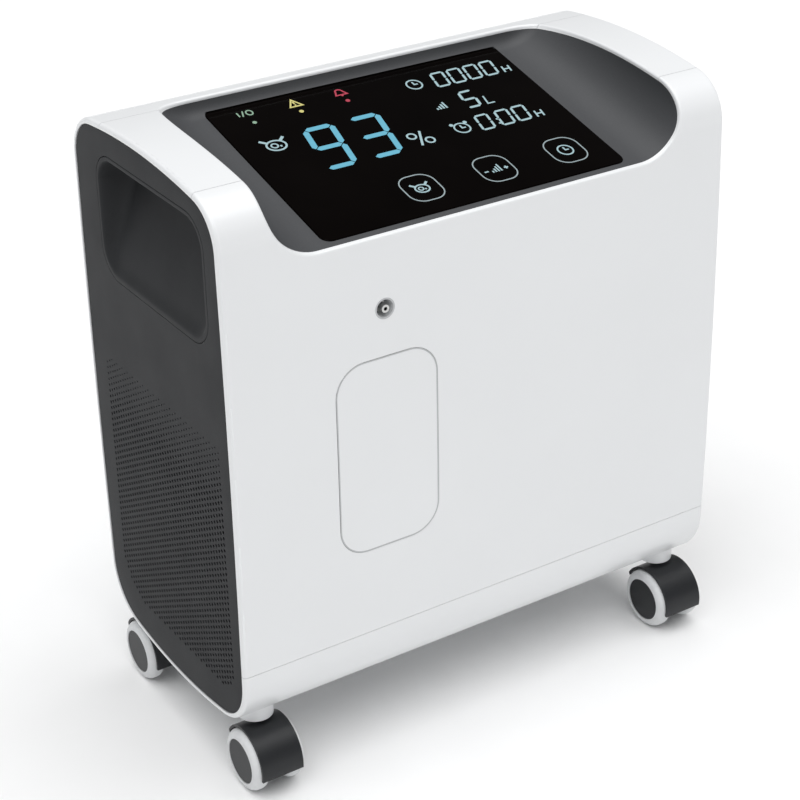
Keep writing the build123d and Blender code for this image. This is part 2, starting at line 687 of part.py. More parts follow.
with BuildPart() as filter_housing:
    front_prism(HOUSING_WALL, HOUSING_FRONT - HOUSING_DEPTH, Y_SPAN)
    extrude(end_outline(-HALF_LENGTH, WALL + SEAT), amount=BODY_LENGTH, mode=Mode.INTERSECT)
    front_prism(0, HOUSING_FRONT - HOUSING_DEPTH + HOUSING_WALL, Y_SPAN, mode=Mode.SUBTRACT)
    with BuildSketch(COVER_PLANE.offset(HOUSING_FRONT - HOUSING_DEPTH)):
        with Locations((COVER_X, COVER_CENTRE_Z)):
            Circle(HOUSING_PORT_RADIUS)
    extrude(amount=2 * HOUSING_WALL, mode=Mode.SUBTRACT)
save(filter_housing, "filter_housing")

# ---------------------------------------------------------------- oxygen outlet
OUTLET_AXIS = Axis((COVER_X, 0, OUTLET_Z), (0, -1, 0))
OUTLET_FACE_Y = -face_depth(OUTLET_Z)
OUTLET_FLOOR_Y = OUTLET_FACE_Y + OUTLET_DISH_DEPTH
with BuildPart() as outlet_ring:
    with BuildSketch(Plane.XY.offset(OUTLET_Z)):
        with BuildLine():
            Polyline(
                (COVER_X + NOZZLE_ROOT_RADIUS + SEAT, OUTLET_FLOOR_Y + WALL),
                (COVER_X + NOZZLE_ROOT_RADIUS + SEAT, OUTLET_FLOOR_Y),
                (COVER_X + OUTLET_RING_RADIUS - OUTLET_FLANGE, OUTLET_FACE_Y),
                (COVER_X + OUTLET_RING_RADIUS, OUTLET_FACE_Y),
                (COVER_X + OUTLET_RING_RADIUS, OUTLET_FLOOR_Y + WALL),
                close=True,
            )
        make_face()
    revolve(axis=OUTLET_AXIS)
save(outlet_ring, "outlet_ring")

NOZZLE_TIP_Y = OUTLET_FLOOR_Y - NOZZLE_LENGTH
NOZZLE_ROOT_Y = OUTLET_FLOOR_Y + NOZZLE_ROOT_LENGTH
with BuildPart() as outlet_nozzle:
    with BuildSketch(Plane.XY.offset(OUTLET_Z)):
        with BuildLine():
            Polyline(
                (COVER_X + NOZZLE_BORE, NOZZLE_ROOT_Y),
                (COVER_X + NOZZLE_BORE, NOZZLE_TIP_Y),
                (COVER_X + NOZZLE_RADIUS, NOZZLE_TIP_Y),
                (COVER_X + NOZZLE_RADIUS, OUTLET_FLOOR_Y),
                (COVER_X + NOZZLE_ROOT_RADIUS, OUTLET_FLOOR_Y),
                (COVER_X + NOZZLE_ROOT_RADIUS, NOZZLE_ROOT_Y),
                close=True,
            )
        make_face()
    revolve(axis=OUTLET_AXIS)
save(outlet_nozzle, "outlet_nozzle")

# ---------------------------------------------------------------- rear fittings
# one moulded entry module holds the mains inlet below and the rocker switch above
ENTRY_TOP_Z = SWITCH_Z + SWITCH_HEIGHT / 2 + SWITCH_FRAME
ENTRY_BOTTOM_Z = INLET_Z - INLET_HEIGHT / 2 - SWITCH_FRAME
ENTRY_FACE_Y = face_depth(ENTRY_TOP_Z)
SWITCH_PIVOT_Y = ENTRY_FACE_Y + INLET_FLANGE - SWITCH_PIVOT_DEPTH
ROCKER_WIDTH = SWITCH_WIDTH - 2 * SWITCH_FRAME
ROCKER_HEIGHT = SWITCH_HEIGHT - 2 * SWITCH_WALL
with BuildPart() as power_inlet:
    with BuildSketch(REAR_PLANE.offset(ENTRY_FACE_Y)):
        with Locations((-INLET_X, (ENTRY_TOP_Z + ENTRY_BOTTOM_Z) / 2)):
            RectangleRounded(INLET_FLANGE_WIDTH, ENTRY_TOP_Z - ENTRY_BOTTOM_Z, SWITCH_FRAME)
    extrude(amount=INLET_FLANGE)
    with BuildSketch(REAR_PLANE.offset(ENTRY_FACE_Y)):
        with Locations((-INLET_X, INLET_Z)):
            Rectangle(INLET_WIDTH, INLET_HEIGHT)
        with Locations((-SWITCH_X, SWITCH_Z)):
            Rectangle(SWITCH_WIDTH, SWITCH_HEIGHT)
    extrude(amount=-INLET_DEPTH)
    with BuildSketch(REAR_PLANE.offset(ENTRY_FACE_Y + INLET_FLANGE)):
        with Locations((-INLET_X, INLET_Z)):
            Rectangle(PLUG_WIDTH, PLUG_HEIGHT)
    extrude(amount=-PLUG_DEPTH, mode=Mode.SUBTRACT)
    with BuildSketch(REAR_PLANE.offset(ENTRY_FACE_Y + INLET_FLANGE - PLUG_DEPTH)):
        with Locations((-INLET_X, INLET_Z - PIN_SPACING / 4)):
            with Locations((-PIN_SPACING, 0), (0, PIN_SPACING / 2), (PIN_SPACING, 0)):
                Rectangle(PIN_WIDTH, PIN_HEIGHT)
    extrude(amount=PIN_LENGTH)
    with BuildSketch(REAR_PLANE.offset(ENTRY_FACE_Y + INLET_FLANGE)):
        with Locations((-SWITCH_X, SWITCH_Z)):
            Rectangle(ROCKER_WIDTH + 2 * ROCKER_GAP, ROCKER_HEIGHT + 2 * ROCKER_GAP)
    extrude(amount=-SWITCH_CAVITY, mode=Mode.SUBTRACT)
    with BuildSketch(Plane.YZ.offset(SWITCH_X - SWITCH_WIDTH / 2 + SWITCH_WALL)):
        with Locations((SWITCH_PIVOT_Y, SWITCH_Z)):
            Circle(ROCKER_PIN_RADIUS + RUNNING_FIT)
    extrude(amount=SWITCH_WIDTH - 2 * SWITCH_WALL, mode=Mode.SUBTRACT)
save(power_inlet, "power_inlet")

# the rocker rests pressed at its upper half; its two faces meet in a shallow V at the pivot line
with BuildPart() as power_switch:
    with BuildSketch(Plane.YZ.offset(SWITCH_X - ROCKER_WIDTH / 2)):
        with BuildLine():
            half = ROCKER_HEIGHT / 2 - ROCKER_TIP_GAP
            lift = half * tan(radians(2 * SWITCH_TILT))
            face_y = ENTRY_FACE_Y + INLET_FLANGE
            Polyline(
                (face_y, SWITCH_Z),
                (face_y, SWITCH_Z + half),
                (SWITCH_PIVOT_Y - ROCKER_PIN_RADIUS, SWITCH_Z + half * ROCKER_TAPER),
                (SWITCH_PIVOT_Y - ROCKER_PIN_RADIUS, SWITCH_Z - half * ROCKER_TAPER),
                (face_y + lift * cos(radians(SWITCH_TILT)) - ROCKER_FOOT, SWITCH_Z - half),
                (face_y + lift * cos(radians(SWITCH_TILT)), SWITCH_Z - half),
                close=True,
            )
        make_face()
    extrude(amount=ROCKER_WIDTH)
    with BuildSketch(Plane.YZ.offset(SWITCH_X - SWITCH_WIDTH / 2 + SWITCH_WALL + RUNNING_FIT)):
        with Locations((SWITCH_PIVOT_Y, SWITCH_Z)):
            Circle(ROCKER_PIN_RADIUS)
    extrude(amount=SWITCH_WIDTH - 2 * SWITCH_WALL - 2 * RUNNING_FIT)
save(power_switch, "power_switch")

RESET_FACE_Y = face_depth(RESET_Z + RESET_NUT_RADIUS)
with BuildPart() as reset_breaker:
    with BuildSketch(REAR_PLANE.offset(RESET_FACE_Y)):
        with Locations((-RESET_X, RESET_Z)):
            RegularPolygon(RESET_NUT_RADIUS, 6)
    extrude(amount=RESET_NUT_HEIGHT)
    with BuildSketch(REAR_PLANE.offset(RESET_FACE_Y - RESET_BODY_DEPTH)):
        with Locations((-RESET_X, RESET_Z)):
            Circle(RESET_NECK_RADIUS)
    extrude(amount=RESET_BODY_DEPTH)
    with BuildSketch(REAR_PLANE.offset(RESET_FACE_Y + RESET_NUT_HEIGHT - RESET_BUTTON_LENGTH)):
        with Locations((-RESET_X, RESET_Z)):
            Circle(RESET_RADIUS + RUNNING_FIT)
    extrude(amount=RESET_BUTTON_LENGTH, mode=Mode.SUBTRACT)
save(reset_breaker, "reset_breaker")

with BuildPart() as reset_button:
    button_foot_y = RESET_FACE_Y + RESET_NUT_HEIGHT - RESET_BUTTON_LENGTH + RESET_TRAVEL + REVEAL
    with BuildSketch(REAR_PLANE.offset(button_foot_y)):
        with Locations((-RESET_X, RESET_Z)):
            Circle(RESET_RADIUS)
    extrude(amount=RESET_BUTTON_LENGTH)
    fillet(reset_button.faces().sort_by(Axis.Y)[-1].edges(), RESET_BUTTON_EDGE)
save(reset_button, "reset_button")

# ---------------------------------------------------------------- casters
AXLE_Z = WHEEL_RADIUS
HOOD_INNER = WHEEL_RADIUS + HOOD_GAP
HOOD_OUTER = HOOD_INNER + HOOD_WALL
HOOD_WIDTH = CASTER_WIDTH - 2 * HOOD_OVERHANG
WEB_WIDTH = CASTER_WIDTH - 2 * WHEEL_WIDTH - 2 * WEB_GAP
AXLE_LENGTH = CASTER_WIDTH - 2 * HUB_CAP_THICKNESS - 2 * AXLE_END_GAP


def build_hood(x, y, name):
    """The caster's hood: an arched cover, a web between the wheels and the stem's bore."""
    axle_y = y - CASTER_TRAIL
    with BuildPart() as hood:
        with BuildSketch(Plane.YZ.offset(x - HOOD_WIDTH / 2)):
            with Locations((axle_y, AXLE_Z)):
                Circle(HOOD_OUTER)
                Circle(HOOD_INNER, mode=Mode.SUBTRACT)
        extrude(amount=HOOD_WIDTH)
        with BuildSketch(Plane.YZ.offset(x - WEB_WIDTH / 2)):
            with Locations((axle_y, AXLE_Z)):
                Circle(HOOD_INNER + HOOD_WALL / 2)
        extrude(amount=WEB_WIDTH)
        with BuildSketch(Plane.YZ.offset(x - CASTER_WIDTH)):
            with BuildLine():
                reach = 2 * HOOD_OUTER
                front = radians(180 + HOOD_FRONT_ANGLE)
                rear = radians(HOOD_REAR_ANGLE)
                Polyline(
                    (axle_y - WEB_FOOT_Y, AXLE_Z - WEB_FOOT_Z),
                    (axle_y + reach * cos(front), AXLE_Z + reach * sin(front)),
                    (axle_y + reach * cos(front), AXLE_Z + reach),
                    (axle_y + reach * cos(rear), AXLE_Z + reach),
                    (axle_y + reach * cos(rear), AXLE_Z + reach * sin(rear)),
                    (y + STEM_RADIUS + WEB_REAR_WALL, AXLE_Z + WEB_HEEL_Z),
                    (y + STEM_RADIUS + WEB_REAR_WALL, AXLE_Z - WEB_FOOT_Z),
                    close=True,
                )
            make_face()
        extrude(amount=2 * CASTER_WIDTH, mode=Mode.INTERSECT)
        with BuildSketch(Plane.YZ.offset(x - WEB_WIDTH)):
            with Locations((axle_y, AXLE_Z)):
                Circle(AXLE_RADIUS)
        extrude(amount=2 * WEB_WIDTH, mode=Mode.SUBTRACT)
        with BuildSketch(Plane.XY.offset(STEM_BOTTOM_Z - REVEAL)):
            with Locations((x, y)):
                Circle(STEM_RADIUS + RUNNING_FIT)
        extrude(amount=BOSS_BOTTOM_Z, mode=Mode.SUBTRACT)
    save(hood, name)


def build_wheel(x_inner, outward, axle_y, name):
    """One wheel: a rounded tread, a bore for the axle and a seat for the hub cap."""
    edge = x_inner + outward * WHEEL_WIDTH
    seat = edge - outward * HUB_CAP_THICKNESS
    axis = Axis((0, axle_y, AXLE_Z), (1, 0, 0))
    with BuildPart() as wheel:
        with BuildSketch(Plane.XZ.offset(-axle_y)) as section:
            with BuildLine():
                Polyline(
                    (x_inner, AXLE_Z + AXLE_RADIUS + RUNNING_FIT),
                    (x_inner, AXLE_Z + WHEEL_RADIUS),
                    (edge, AXLE_Z + WHEEL_RADIUS),
                    (edge, AXLE_Z + HUB_CAP_RADIUS),
                    (seat, AXLE_Z + HUB_CAP_RADIUS),
                    (seat, AXLE_Z + AXLE_RADIUS + RUNNING_FIT),
                    close=True,
                )
            make_face()
            fillet(section.vertices().sort_by(Axis.Y)[-2:], TREAD_ROUNDING)
        revolve(axis=axis)
    save(wheel, name)


def build_hub_cap(x_inner, outward, axle_y, name):
    """The domed disc that closes a wheel's outer face."""
    edge = x_inner + outward * WHEEL_WIDTH
    with BuildPart() as cap:
        with BuildSketch(Plane.YZ.offset(edge - outward * HUB_CAP_THICKNESS)):
            with Locations((axle_y, AXLE_Z)):
                Circle(HUB_CAP_RADIUS)
        extrude(amount=outward * (HUB_CAP_THICKNESS - HUB_CAP_RECESS))
        rim = cap.faces().sort_by(Axis.X)[-1 if outward > 0 else 0]
        fillet(rim.edges(), HUB_CAP_DOME)
    save(cap, name)


for caster, (x, y) in CASTERS.items():
    axle_y = y - CASTER_TRAIL
    build_hood(x, y, f"caster_{caster}_hood")
    with BuildPart() as axle:
        with BuildSketch(Plane.YZ.offset(x - AXLE_LENGTH / 2)):
            with Locations((axle_y, AXLE_Z)):
                Circle(AXLE_RADIUS)
        extrude(amount=AXLE_LENGTH)
    save(axle, f"caster_{caster}_axle")
    for side, outward in SIDES.items():
        x_inner = x + outward * (CASTER_WIDTH / 2 - WHEEL_WIDTH)
        build_wheel(x_inner, outward, axle_y, f"caster_{caster}_wheel_{side}")
        build_hub_cap(x_inner, outward, axle_y, f"caster_{caster}_cap_{side}")

with BuildPart() as caster_stems:
    for x, y in CASTERS.values():
        with BuildSketch(Plane.XY.offset(STEM_BOTTOM_Z)):
            with Locations((x, y)):
                Circle(STEM_RADIUS)
        extrude(amount=STEM_TOP_Z - STEM_BOTTOM_Z)
save(caster_stems, "caster_stems")

# ---------------------------------------------------------------- working parts on the chassis plate
with BuildPart() as chassis_plate:
    with BuildSketch(Plane.XY.offset(PLATE_Z - PLATE_THICKNESS)):
        RectangleRounded(PLATE_LENGTH, PLATE_DEPTH, PLATE_CORNER)
    extrude(amount=PLATE_THICKNESS)
save(chassis_plate, "chassis_plate")

with BuildPart() as compressor_mounts:
    with BuildSketch(Plane.XY.offset(PLATE_Z)):
        with Locations((COMPRESSOR_X, 0)):
            with GridLocations(MOUNT_SPACING_X, MOUNT_SPACING_Y, 2, 2):
                Circle(MOUNT_RADIUS)
    extrude(amount=MOUNT_HEIGHT)
    chamfer(compressor_mounts.faces().filter_by(Plane.XY).edges(), MOUNT_CHAMFER)
save(compressor_mounts, "compressor_mounts")

FOOT_Z = PLATE_Z + MOUNT_HEIGHT
MOTOR_Z = FOOT_Z + COMPRESSOR_FOOT - MOTOR_SINK + MOTOR_RADIUS
with BuildPart() as compressor:
    with BuildSketch(Plane.XY.offset(FOOT_Z)):
        with Locations((COMPRESSOR_X, 0)):
            RectangleRounded(COMPRESSOR_LENGTH, COMPRESSOR_DEPTH, COMPRESSOR_FOOT)
    extrude(amount=COMPRESSOR_FOOT)
    with BuildSketch(Plane.YZ.offset(COMPRESSOR_X - COMPRESSOR_LENGTH / 2)):
        with Locations((0, MOTOR_Z)):
            Circle(MOTOR_RADIUS)
    extrude(amount=COMPRESSOR_LENGTH)
    with BuildSketch(Plane.XY.offset(MOTOR_Z)):
        with Locations((COMPRESSOR_X, 0)):
            with GridLocations(COMPRESSOR_LENGTH - HEAD_WIDTH, 0, 2, 1):
                Rectangle(HEAD_WIDTH, HEAD_WIDTH)
    extrude(amount=HEAD_HEIGHT)
    with BuildSketch(Plane.XY.offset(FOOT_Z)):
        with Locations((COMPRESSOR_X, 0)):
            Rectangle(COMPRESSOR_LENGTH / 2, MOTOR_RADIUS)
    extrude(amount=MOTOR_RADIUS)
save(compressor, "compressor")

BED_TOP_Z = PLATE_Z + BED_HEIGHT + 2 * BED_CAP
with BuildPart() as sieve_beds:
    for y in (-BED_SPACING / 2, BED_SPACING / 2):
        with BuildSketch(Plane.XY.offset(PLATE_Z)) as caps:
            with Locations((BED_X, y)):
                Circle(BED_RADIUS + BED_CAP_LIP)
        extrude(caps.sketch, amount=BED_CAP)
        extrude(caps.sketch.moved(Location((0, 0, BED_HEIGHT + BED_CAP))), amount=BED_CAP)
        with BuildSketch(Plane.XY.offset(PLATE_Z)) as tube:
            with Locations((BED_X, y)):
                Circle(BED_RADIUS)
        extrude(tube.sketch, amount=BED_HEIGHT + BED_CAP)
save(sieve_beds, "sieve_beds")

with BuildPart() as valve_manifold:
    with BuildSketch(Plane.XY.offset(BED_TOP_Z)):
        with Locations((BED_X, 0)):
            RectangleRounded(MANIFOLD_LENGTH, MANIFOLD_DEPTH, MANIFOLD_CORNER)
    extrude(amount=MANIFOLD_HEIGHT)
    with BuildSketch(Plane.XY.offset(BED_TOP_Z + MANIFOLD_HEIGHT)):
        with Locations((BED_X, 0)):
            with GridLocations(0, MANIFOLD_DEPTH / 4, 1, 4):
                Circle(SOLENOID_RADIUS)
    extrude(amount=SOLENOID_HEIGHT)
save(valve_manifold, "valve_manifold")

with BuildPart() as oxygen_tank:
    with BuildSketch(Plane.XY.offset(PLATE_Z)):
        with Locations((TANK_X, TANK_Y)):
            Circle(TANK_RADIUS)
    extrude(amount=TANK_HEIGHT)
    fillet(oxygen_tank.faces().filter_by(Plane.XY).edges(), TANK_EDGE)
save(oxygen_tank, "oxygen_tank")

# gas lines: compressor head to manifold, manifold to oxygen tank, and the exhaust muffler
HEAD_TOP_Z = MOTOR_Z + HEAD_HEIGHT
HEAD_X = COMPRESSOR_X - (COMPRESSOR_LENGTH - HEAD_WIDTH) / 2
HOSE_Z = BED_TOP_Z + MANIFOLD_HEIGHT / 2
MANIFOLD_END_X = BED_X + MANIFOLD_LENGTH / 2


def hose(points):
    """A round hose along straight runs with even bends."""
    with BuildPart() as run:
        with BuildLine() as route:
            FilletPolyline(*points, radius=HOSE_BEND)
        with BuildSketch(Plane(origin=points[0], z_dir=route.line % 0)):
            Circle(HOSE_RADIUS)
        sweep()
    return run.part


with BuildPart() as gas_lines:
    add(hose([(HEAD_X, 0, HEAD_TOP_Z), (HEAD_X, 0, HOSE_Z), (MANIFOLD_END_X, 0, HOSE_Z)]))
    add(
        hose(
            [
                (TANK_X, TANK_Y, PLATE_Z + TANK_HEIGHT),
                (TANK_X, TANK_Y, HOSE_Z),
                (MANIFOLD_END_X, TANK_Y, HOSE_Z),
            ]
        )
    )
    with BuildSketch(Plane.XY.offset(PLATE_Z)):
        with Locations((TANK_X, MUFFLER_Y)):
            Circle(MUFFLER_RADIUS)
    extrude(amount=MUFFLER_LENGTH)
    with BuildSketch(Plane.XY.offset(PLATE_Z + MUFFLER_LENGTH)):
        with Locations((TANK_X, MUFFLER_Y)):
            Circle(HOSE_RADIUS)
    extrude(amount=MUFFLER_RADIUS)
save(gas_lines, "gas_lines")

# ---------------------------------------------------------------- cooling fan
FAN_Z = PLATE_Z + FAN_SIZE / 2
FAN_FACE_X = FAN_X - FAN_DEPTH / 2
SPIDER_HUB_X = FAN_X + FAN_DEPTH / 2 - FAN_SPIDER_THICKNESS
with BuildPart() as fan_frame:
    with BuildSketch(Plane.YZ.offset(FAN_FACE_X)):
        with Locations((0, FAN_Z)):
            RectangleRounded(FAN_SIZE, FAN_SIZE, FAN_CORNER)
            Circle(FAN_DUCT_RADIUS, mode=Mode.SUBTRACT)
    extrude(amount=FAN_DEPTH)
    with BuildSketch(Plane.YZ.offset(SPIDER_HUB_X)):
        with Locations((0, FAN_Z)):
            Circle(FAN_HUB_RADIUS)
            Rectangle(2 * FAN_DUCT_RADIUS + FAN_SPIDER_THICKNESS, FAN_SPIDER_WIDTH)
            Rectangle(FAN_SPIDER_WIDTH, 2 * FAN_DUCT_RADIUS + FAN_SPIDER_THICKNESS)
    extrude(amount=FAN_SPIDER_THICKNESS)
    with BuildSketch(Plane.YZ.offset(FAN_FACE_X + FAN_SPIDER_THICKNESS)):
        with Locations((0, FAN_Z)):
            Circle(FAN_PIN_RADIUS)
    extrude(amount=FAN_DEPTH - FAN_SPIDER_THICKNESS)
save(fan_frame, "fan_frame")

ROTOR_DEPTH = FAN_DEPTH - 2 * FAN_SPIDER_THICKNESS
BLADE_REACH = FAN_DUCT_RADIUS - FAN_BLADE_TIP_GAP
ROTOR_X = FAN_FACE_X + FAN_SPIDER_THICKNESS / 2
ROTOR_PLANE = Plane(origin=(ROTOR_X, 0, FAN_Z), x_dir=(0, 1, 0), z_dir=(1, 0, 0))
with BuildPart(ROTOR_PLANE) as fan_rotor:
    Cylinder(FAN_HUB_RADIUS, ROTOR_DEPTH, align=(Align.CENTER, Align.CENTER, Align.MIN))
    with Locations((0, 0, ROTOR_DEPTH / 2)):
        with PolarLocations(BLADE_REACH / 2, FAN_BLADES):
            Box(
                BLADE_REACH - FAN_BLADE_TIP_GAP,
                FAN_BLADE_THICKNESS,
                ROTOR_DEPTH - FAN_SPIDER_THICKNESS,
                rotation=(FAN_BLADE_PITCH, 0, 0),
            )
    with Locations((0, 0, 0)):
        Cylinder(
            FAN_PIN_RADIUS + RUNNING_FIT,
            4 * ROTOR_DEPTH,
            mode=Mode.SUBTRACT,
        )
save(fan_rotor, "fan_rotor")

# ---------------------------------------------------------------- electronics on the rear shell
with BuildPart() as power_supply:
    with BuildSketch(REAR_PLANE.offset(SUPPLY_FACE_Y)):
        with Locations((-SUPPLY_X, SUPPLY_Z)):
            RectangleRounded(SUPPLY_LENGTH, SUPPLY_HEIGHT, FAN_CORNER / 4)
    extrude(amount=-SUPPLY_DEPTH)
save(power_supply, "power_supply")

with BuildPart() as control_board:
    with BuildSketch(REAR_PLANE.offset(CONTROL_FACE_Y)):
        with Locations((-CONTROL_X, CONTROL_Z)):
            Rectangle(CONTROL_LENGTH, CONTROL_HEIGHT)
    extrude(amount=-BOARD_THICKNESS)
    with BuildSketch(REAR_PLANE.offset(CONTROL_FACE_Y - BOARD_THICKNESS)):
        with Locations((-CONTROL_X, CONTROL_Z)):
            with GridLocations(CONTROL_LENGTH / 3, CONTROL_HEIGHT / 2, 3, 2):
                Rectangle(CHIP_SIZE, CHIP_SIZE)
    extrude(amount=-CHIP_THICKNESS)
save(control_board, "control_board")
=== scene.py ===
import json
import math

import bmesh
import bpy
from mathutils import Matrix, Vector
from mathutils.geometry import delaunay_2d_cdt


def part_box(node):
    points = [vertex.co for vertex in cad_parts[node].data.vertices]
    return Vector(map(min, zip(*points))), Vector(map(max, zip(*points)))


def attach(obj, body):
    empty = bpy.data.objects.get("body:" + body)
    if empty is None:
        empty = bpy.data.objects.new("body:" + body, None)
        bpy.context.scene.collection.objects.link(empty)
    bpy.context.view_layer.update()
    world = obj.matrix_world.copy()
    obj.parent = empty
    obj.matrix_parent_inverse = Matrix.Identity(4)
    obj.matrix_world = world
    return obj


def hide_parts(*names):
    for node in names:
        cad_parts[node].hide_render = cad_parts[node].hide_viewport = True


# The visual model of a home oxygen concentrator: fine-perforated end panels, soft grip pockets, the
# lit display and every finish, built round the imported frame. Metres; small sizes are given in MM.
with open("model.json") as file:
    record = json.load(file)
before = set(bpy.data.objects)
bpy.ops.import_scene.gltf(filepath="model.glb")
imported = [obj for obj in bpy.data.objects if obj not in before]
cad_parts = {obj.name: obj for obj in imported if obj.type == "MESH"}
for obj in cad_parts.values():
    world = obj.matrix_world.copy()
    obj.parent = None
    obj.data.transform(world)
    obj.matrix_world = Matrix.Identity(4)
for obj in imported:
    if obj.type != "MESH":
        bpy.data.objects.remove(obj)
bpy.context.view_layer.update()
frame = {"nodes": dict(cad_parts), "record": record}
NODES = frame["nodes"]
MM = 0.001
SIDES = {"left": -1, "right": 1}


# ---------------------------------------------------------------- camera, light and floor
CAMERA_SPOT = (-0.76715, -1.20396, 0.98728)
CAMERA_LOOK = (0.4795, 0.7532, -0.4503)
CAMERA_ROLL = -1.117  # degrees
CAMERA_LENS = 92.5
CAMERA_SENSOR = 36
CAMERA_SHIFT = (-0.00785, -0.0595)
CAMERA_NEAREST = 0.05
SURROUND_COLOUR = (0.97, 0.985, 1.0, 1)
SURROUND_STRENGTH = 0.26
LIGHT_ENERGY = 3.0
LIGHT_SPREAD = 75  # degrees
LIGHT_WAY = (0.06, 0.16, -0.985)  # where the light travels to
FLOOR_HALF = 30.0
FLOOR_COLOUR = (0.93, 0.93, 0.93)


def make_camera():
    """The viewing angle: from the front left, a little above the display."""
    camera = bpy.data.objects.new("camera", bpy.data.cameras.new("camera"))
    bpy.context.scene.collection.objects.link(camera)
    forward = Vector(CAMERA_LOOK).normalized()
    level_right = forward.cross(Vector((0, 0, 1))).normalized()
    level_up = level_right.cross(forward)
    roll = math.radians(CAMERA_ROLL)
    right = math.cos(roll) * level_right + math.sin(roll) * level_up
    up = right.cross(forward)
    turn = Matrix((right, up, -forward)).transposed()
    camera.matrix_world = Matrix.Translation(CAMERA_SPOT) @ turn.to_4x4()
    camera.data.sensor_width = CAMERA_SENSOR
    camera.data.lens = CAMERA_LENS
    camera.data.shift_x, camera.data.shift_y = CAMERA_SHIFT
    camera.data.clip_start = CAMERA_NEAREST
    bpy.context.scene.camera = camera


def make_light():
    """Soft white studio light: an even surround and a very broad source overhead, front left."""
    world = bpy.data.worlds.new("studio")
    world.use_nodes = True
    surround = world.node_tree.nodes["Background"]
    surround.inputs["Color"].default_value = SURROUND_COLOUR
    surround.inputs["Strength"].default_value = SURROUND_STRENGTH
    bpy.context.scene.world = world
    bpy.context.scene.view_settings.view_transform = "Standard"
    light = bpy.data.lights.new("overhead", "SUN")
    light.energy = LIGHT_ENERGY
    light.angle = math.radians(LIGHT_SPREAD)
    holder = bpy.data.objects.new("overhead", light)
    holder.rotation_mode = "QUATERNION"
    holder.rotation_quaternion = Vector(LIGHT_WAY).to_track_quat("-Z", "Y")
    bpy.context.scene.collection.objects.link(holder)


def make_floor():
    """A plain pale floor, larger than any view of the object."""
    mesh = bpy.data.meshes.new("floor")
    corners = [(FLOOR_HALF * x, FLOOR_HALF * y, 0) for x, y in ((-1, -1), (1, -1), (1, 1), (-1, 1))]
    mesh.from_pydata(corners, [], [(0, 1, 2, 3)])
    floor = bpy.data.objects.new("floor", mesh)
    bpy.context.scene.collection.objects.link(floor)
    floor.data.materials.append(plastic("floor_paint", FLOOR_COLOUR, 0.01, 0.6, 40, 0.0))


# ---------------------------------------------------------------- finishes
TONE_SCALE = 9  # slow changes of tone over a moulding, in cycles per metre
GLOSS_SCALE = 55  # patches of uneven gloss
DARK_GLOSS_SCALE = 30
METAL_RELIEF = 0.00002
RUBBER_RELIEF = 0.00003
FOAM_CELLS = 700  # cells per metre
FOAM_RELIEF = 0.0008
TRACK_SCALE = 90
TRACK_RELIEF = 0.00005
MARK_BASE = (0.01, 0.01, 0.01, 1)  # a lit mark's own colour


def blank_material(name):
    """A new material: itself, its node tree, its shader and the object coordinates."""
    material = bpy.data.materials.new(name)
    material.use_nodes = True
    tree = material.node_tree
    shader = tree.nodes["Principled BSDF"]
    place = tree.nodes.new("ShaderNodeTexCoord").outputs["Object"]
    return material, tree, shader, place


def noise(tree, place, scale, detail=3.0):
    """A noise texture in object space; scale is in cycles per metre."""
    node = tree.nodes.new("ShaderNodeTexNoise")
    node.inputs["Scale"].default_value = scale
    node.inputs["Detail"].default_value = detail
    tree.links.new(place, node.inputs["Vector"])
    return node.outputs["Fac"]


def ramp(tree, factor, low, high, start=0.3, end=0.7):
    """A colour ramp between two linear colours."""
    node = tree.nodes.new("ShaderNodeValToRGB")
    node.color_ramp.elements[0].position = start
    node.color_ramp.elements[0].color = (*low, 1)
    node.color_ramp.elements[1].position = end
    node.color_ramp.elements[1].color = (*high, 1)
    tree.links.new(factor, node.inputs["Fac"])
    return node.outputs["Color"]


def cells(tree, place, scale):
    """Distances inside rounded cells in object space; scale is in cells per metre."""
    node = tree.nodes.new("ShaderNodeTexVoronoi")
    node.inputs["Scale"].default_value = scale
    tree.links.new(place, node.inputs["Vector"])
    return node.outputs["Distance"]


def uneven_gloss(tree, shader, factor, low, high):
    """A roughness that follows a 0..1 factor between two values."""
    node = tree.nodes.new("ShaderNodeMapRange")
    node.inputs["To Min"].default_value = low
    node.inputs["To Max"].default_value = high
    tree.links.new(factor, node.inputs["Value"])
    tree.links.new(node.outputs["Result"], shader.inputs["Roughness"])


def bump(tree, shader, height, distance):
    """Relief from a height texture; distance is the depth of the relief in metres."""
    node = tree.nodes.new("ShaderNodeBump")
    node.inputs["Distance"].default_value = distance
    node.inputs["Strength"].default_value = 1.0
    tree.links.new(height, node.inputs["Height"])
    tree.links.new(node.outputs["Normal"], shader.inputs["Normal"])


def plastic(name, colour, change, roughness, grain, depth, coat=0.0, specular=0.5):
    """Moulded plastic: slow change of tone, uneven gloss and a fine moulded grain."""
    material, tree, shader, place = blank_material(name)
    low = [c * (1 - change) for c in colour]
    high = [min(1.0, c * (1 + change)) for c in colour]
    tone = ramp(tree, noise(tree, place, TONE_SCALE), low, high)
    tree.links.new(tone, shader.inputs["Base Color"])
    patches = noise(tree, place, GLOSS_SCALE)
    uneven_gloss(tree, shader, patches, roughness * 0.88, roughness * 1.12)
    shader.inputs["Coat Weight"].default_value = coat
    shader.inputs["Coat Roughness"].default_value = 0.12
    shader.inputs["Specular IOR Level"].default_value = specular
    if depth:
        bump(tree, shader, noise(tree, place, grain, 2.0), depth)
    return material


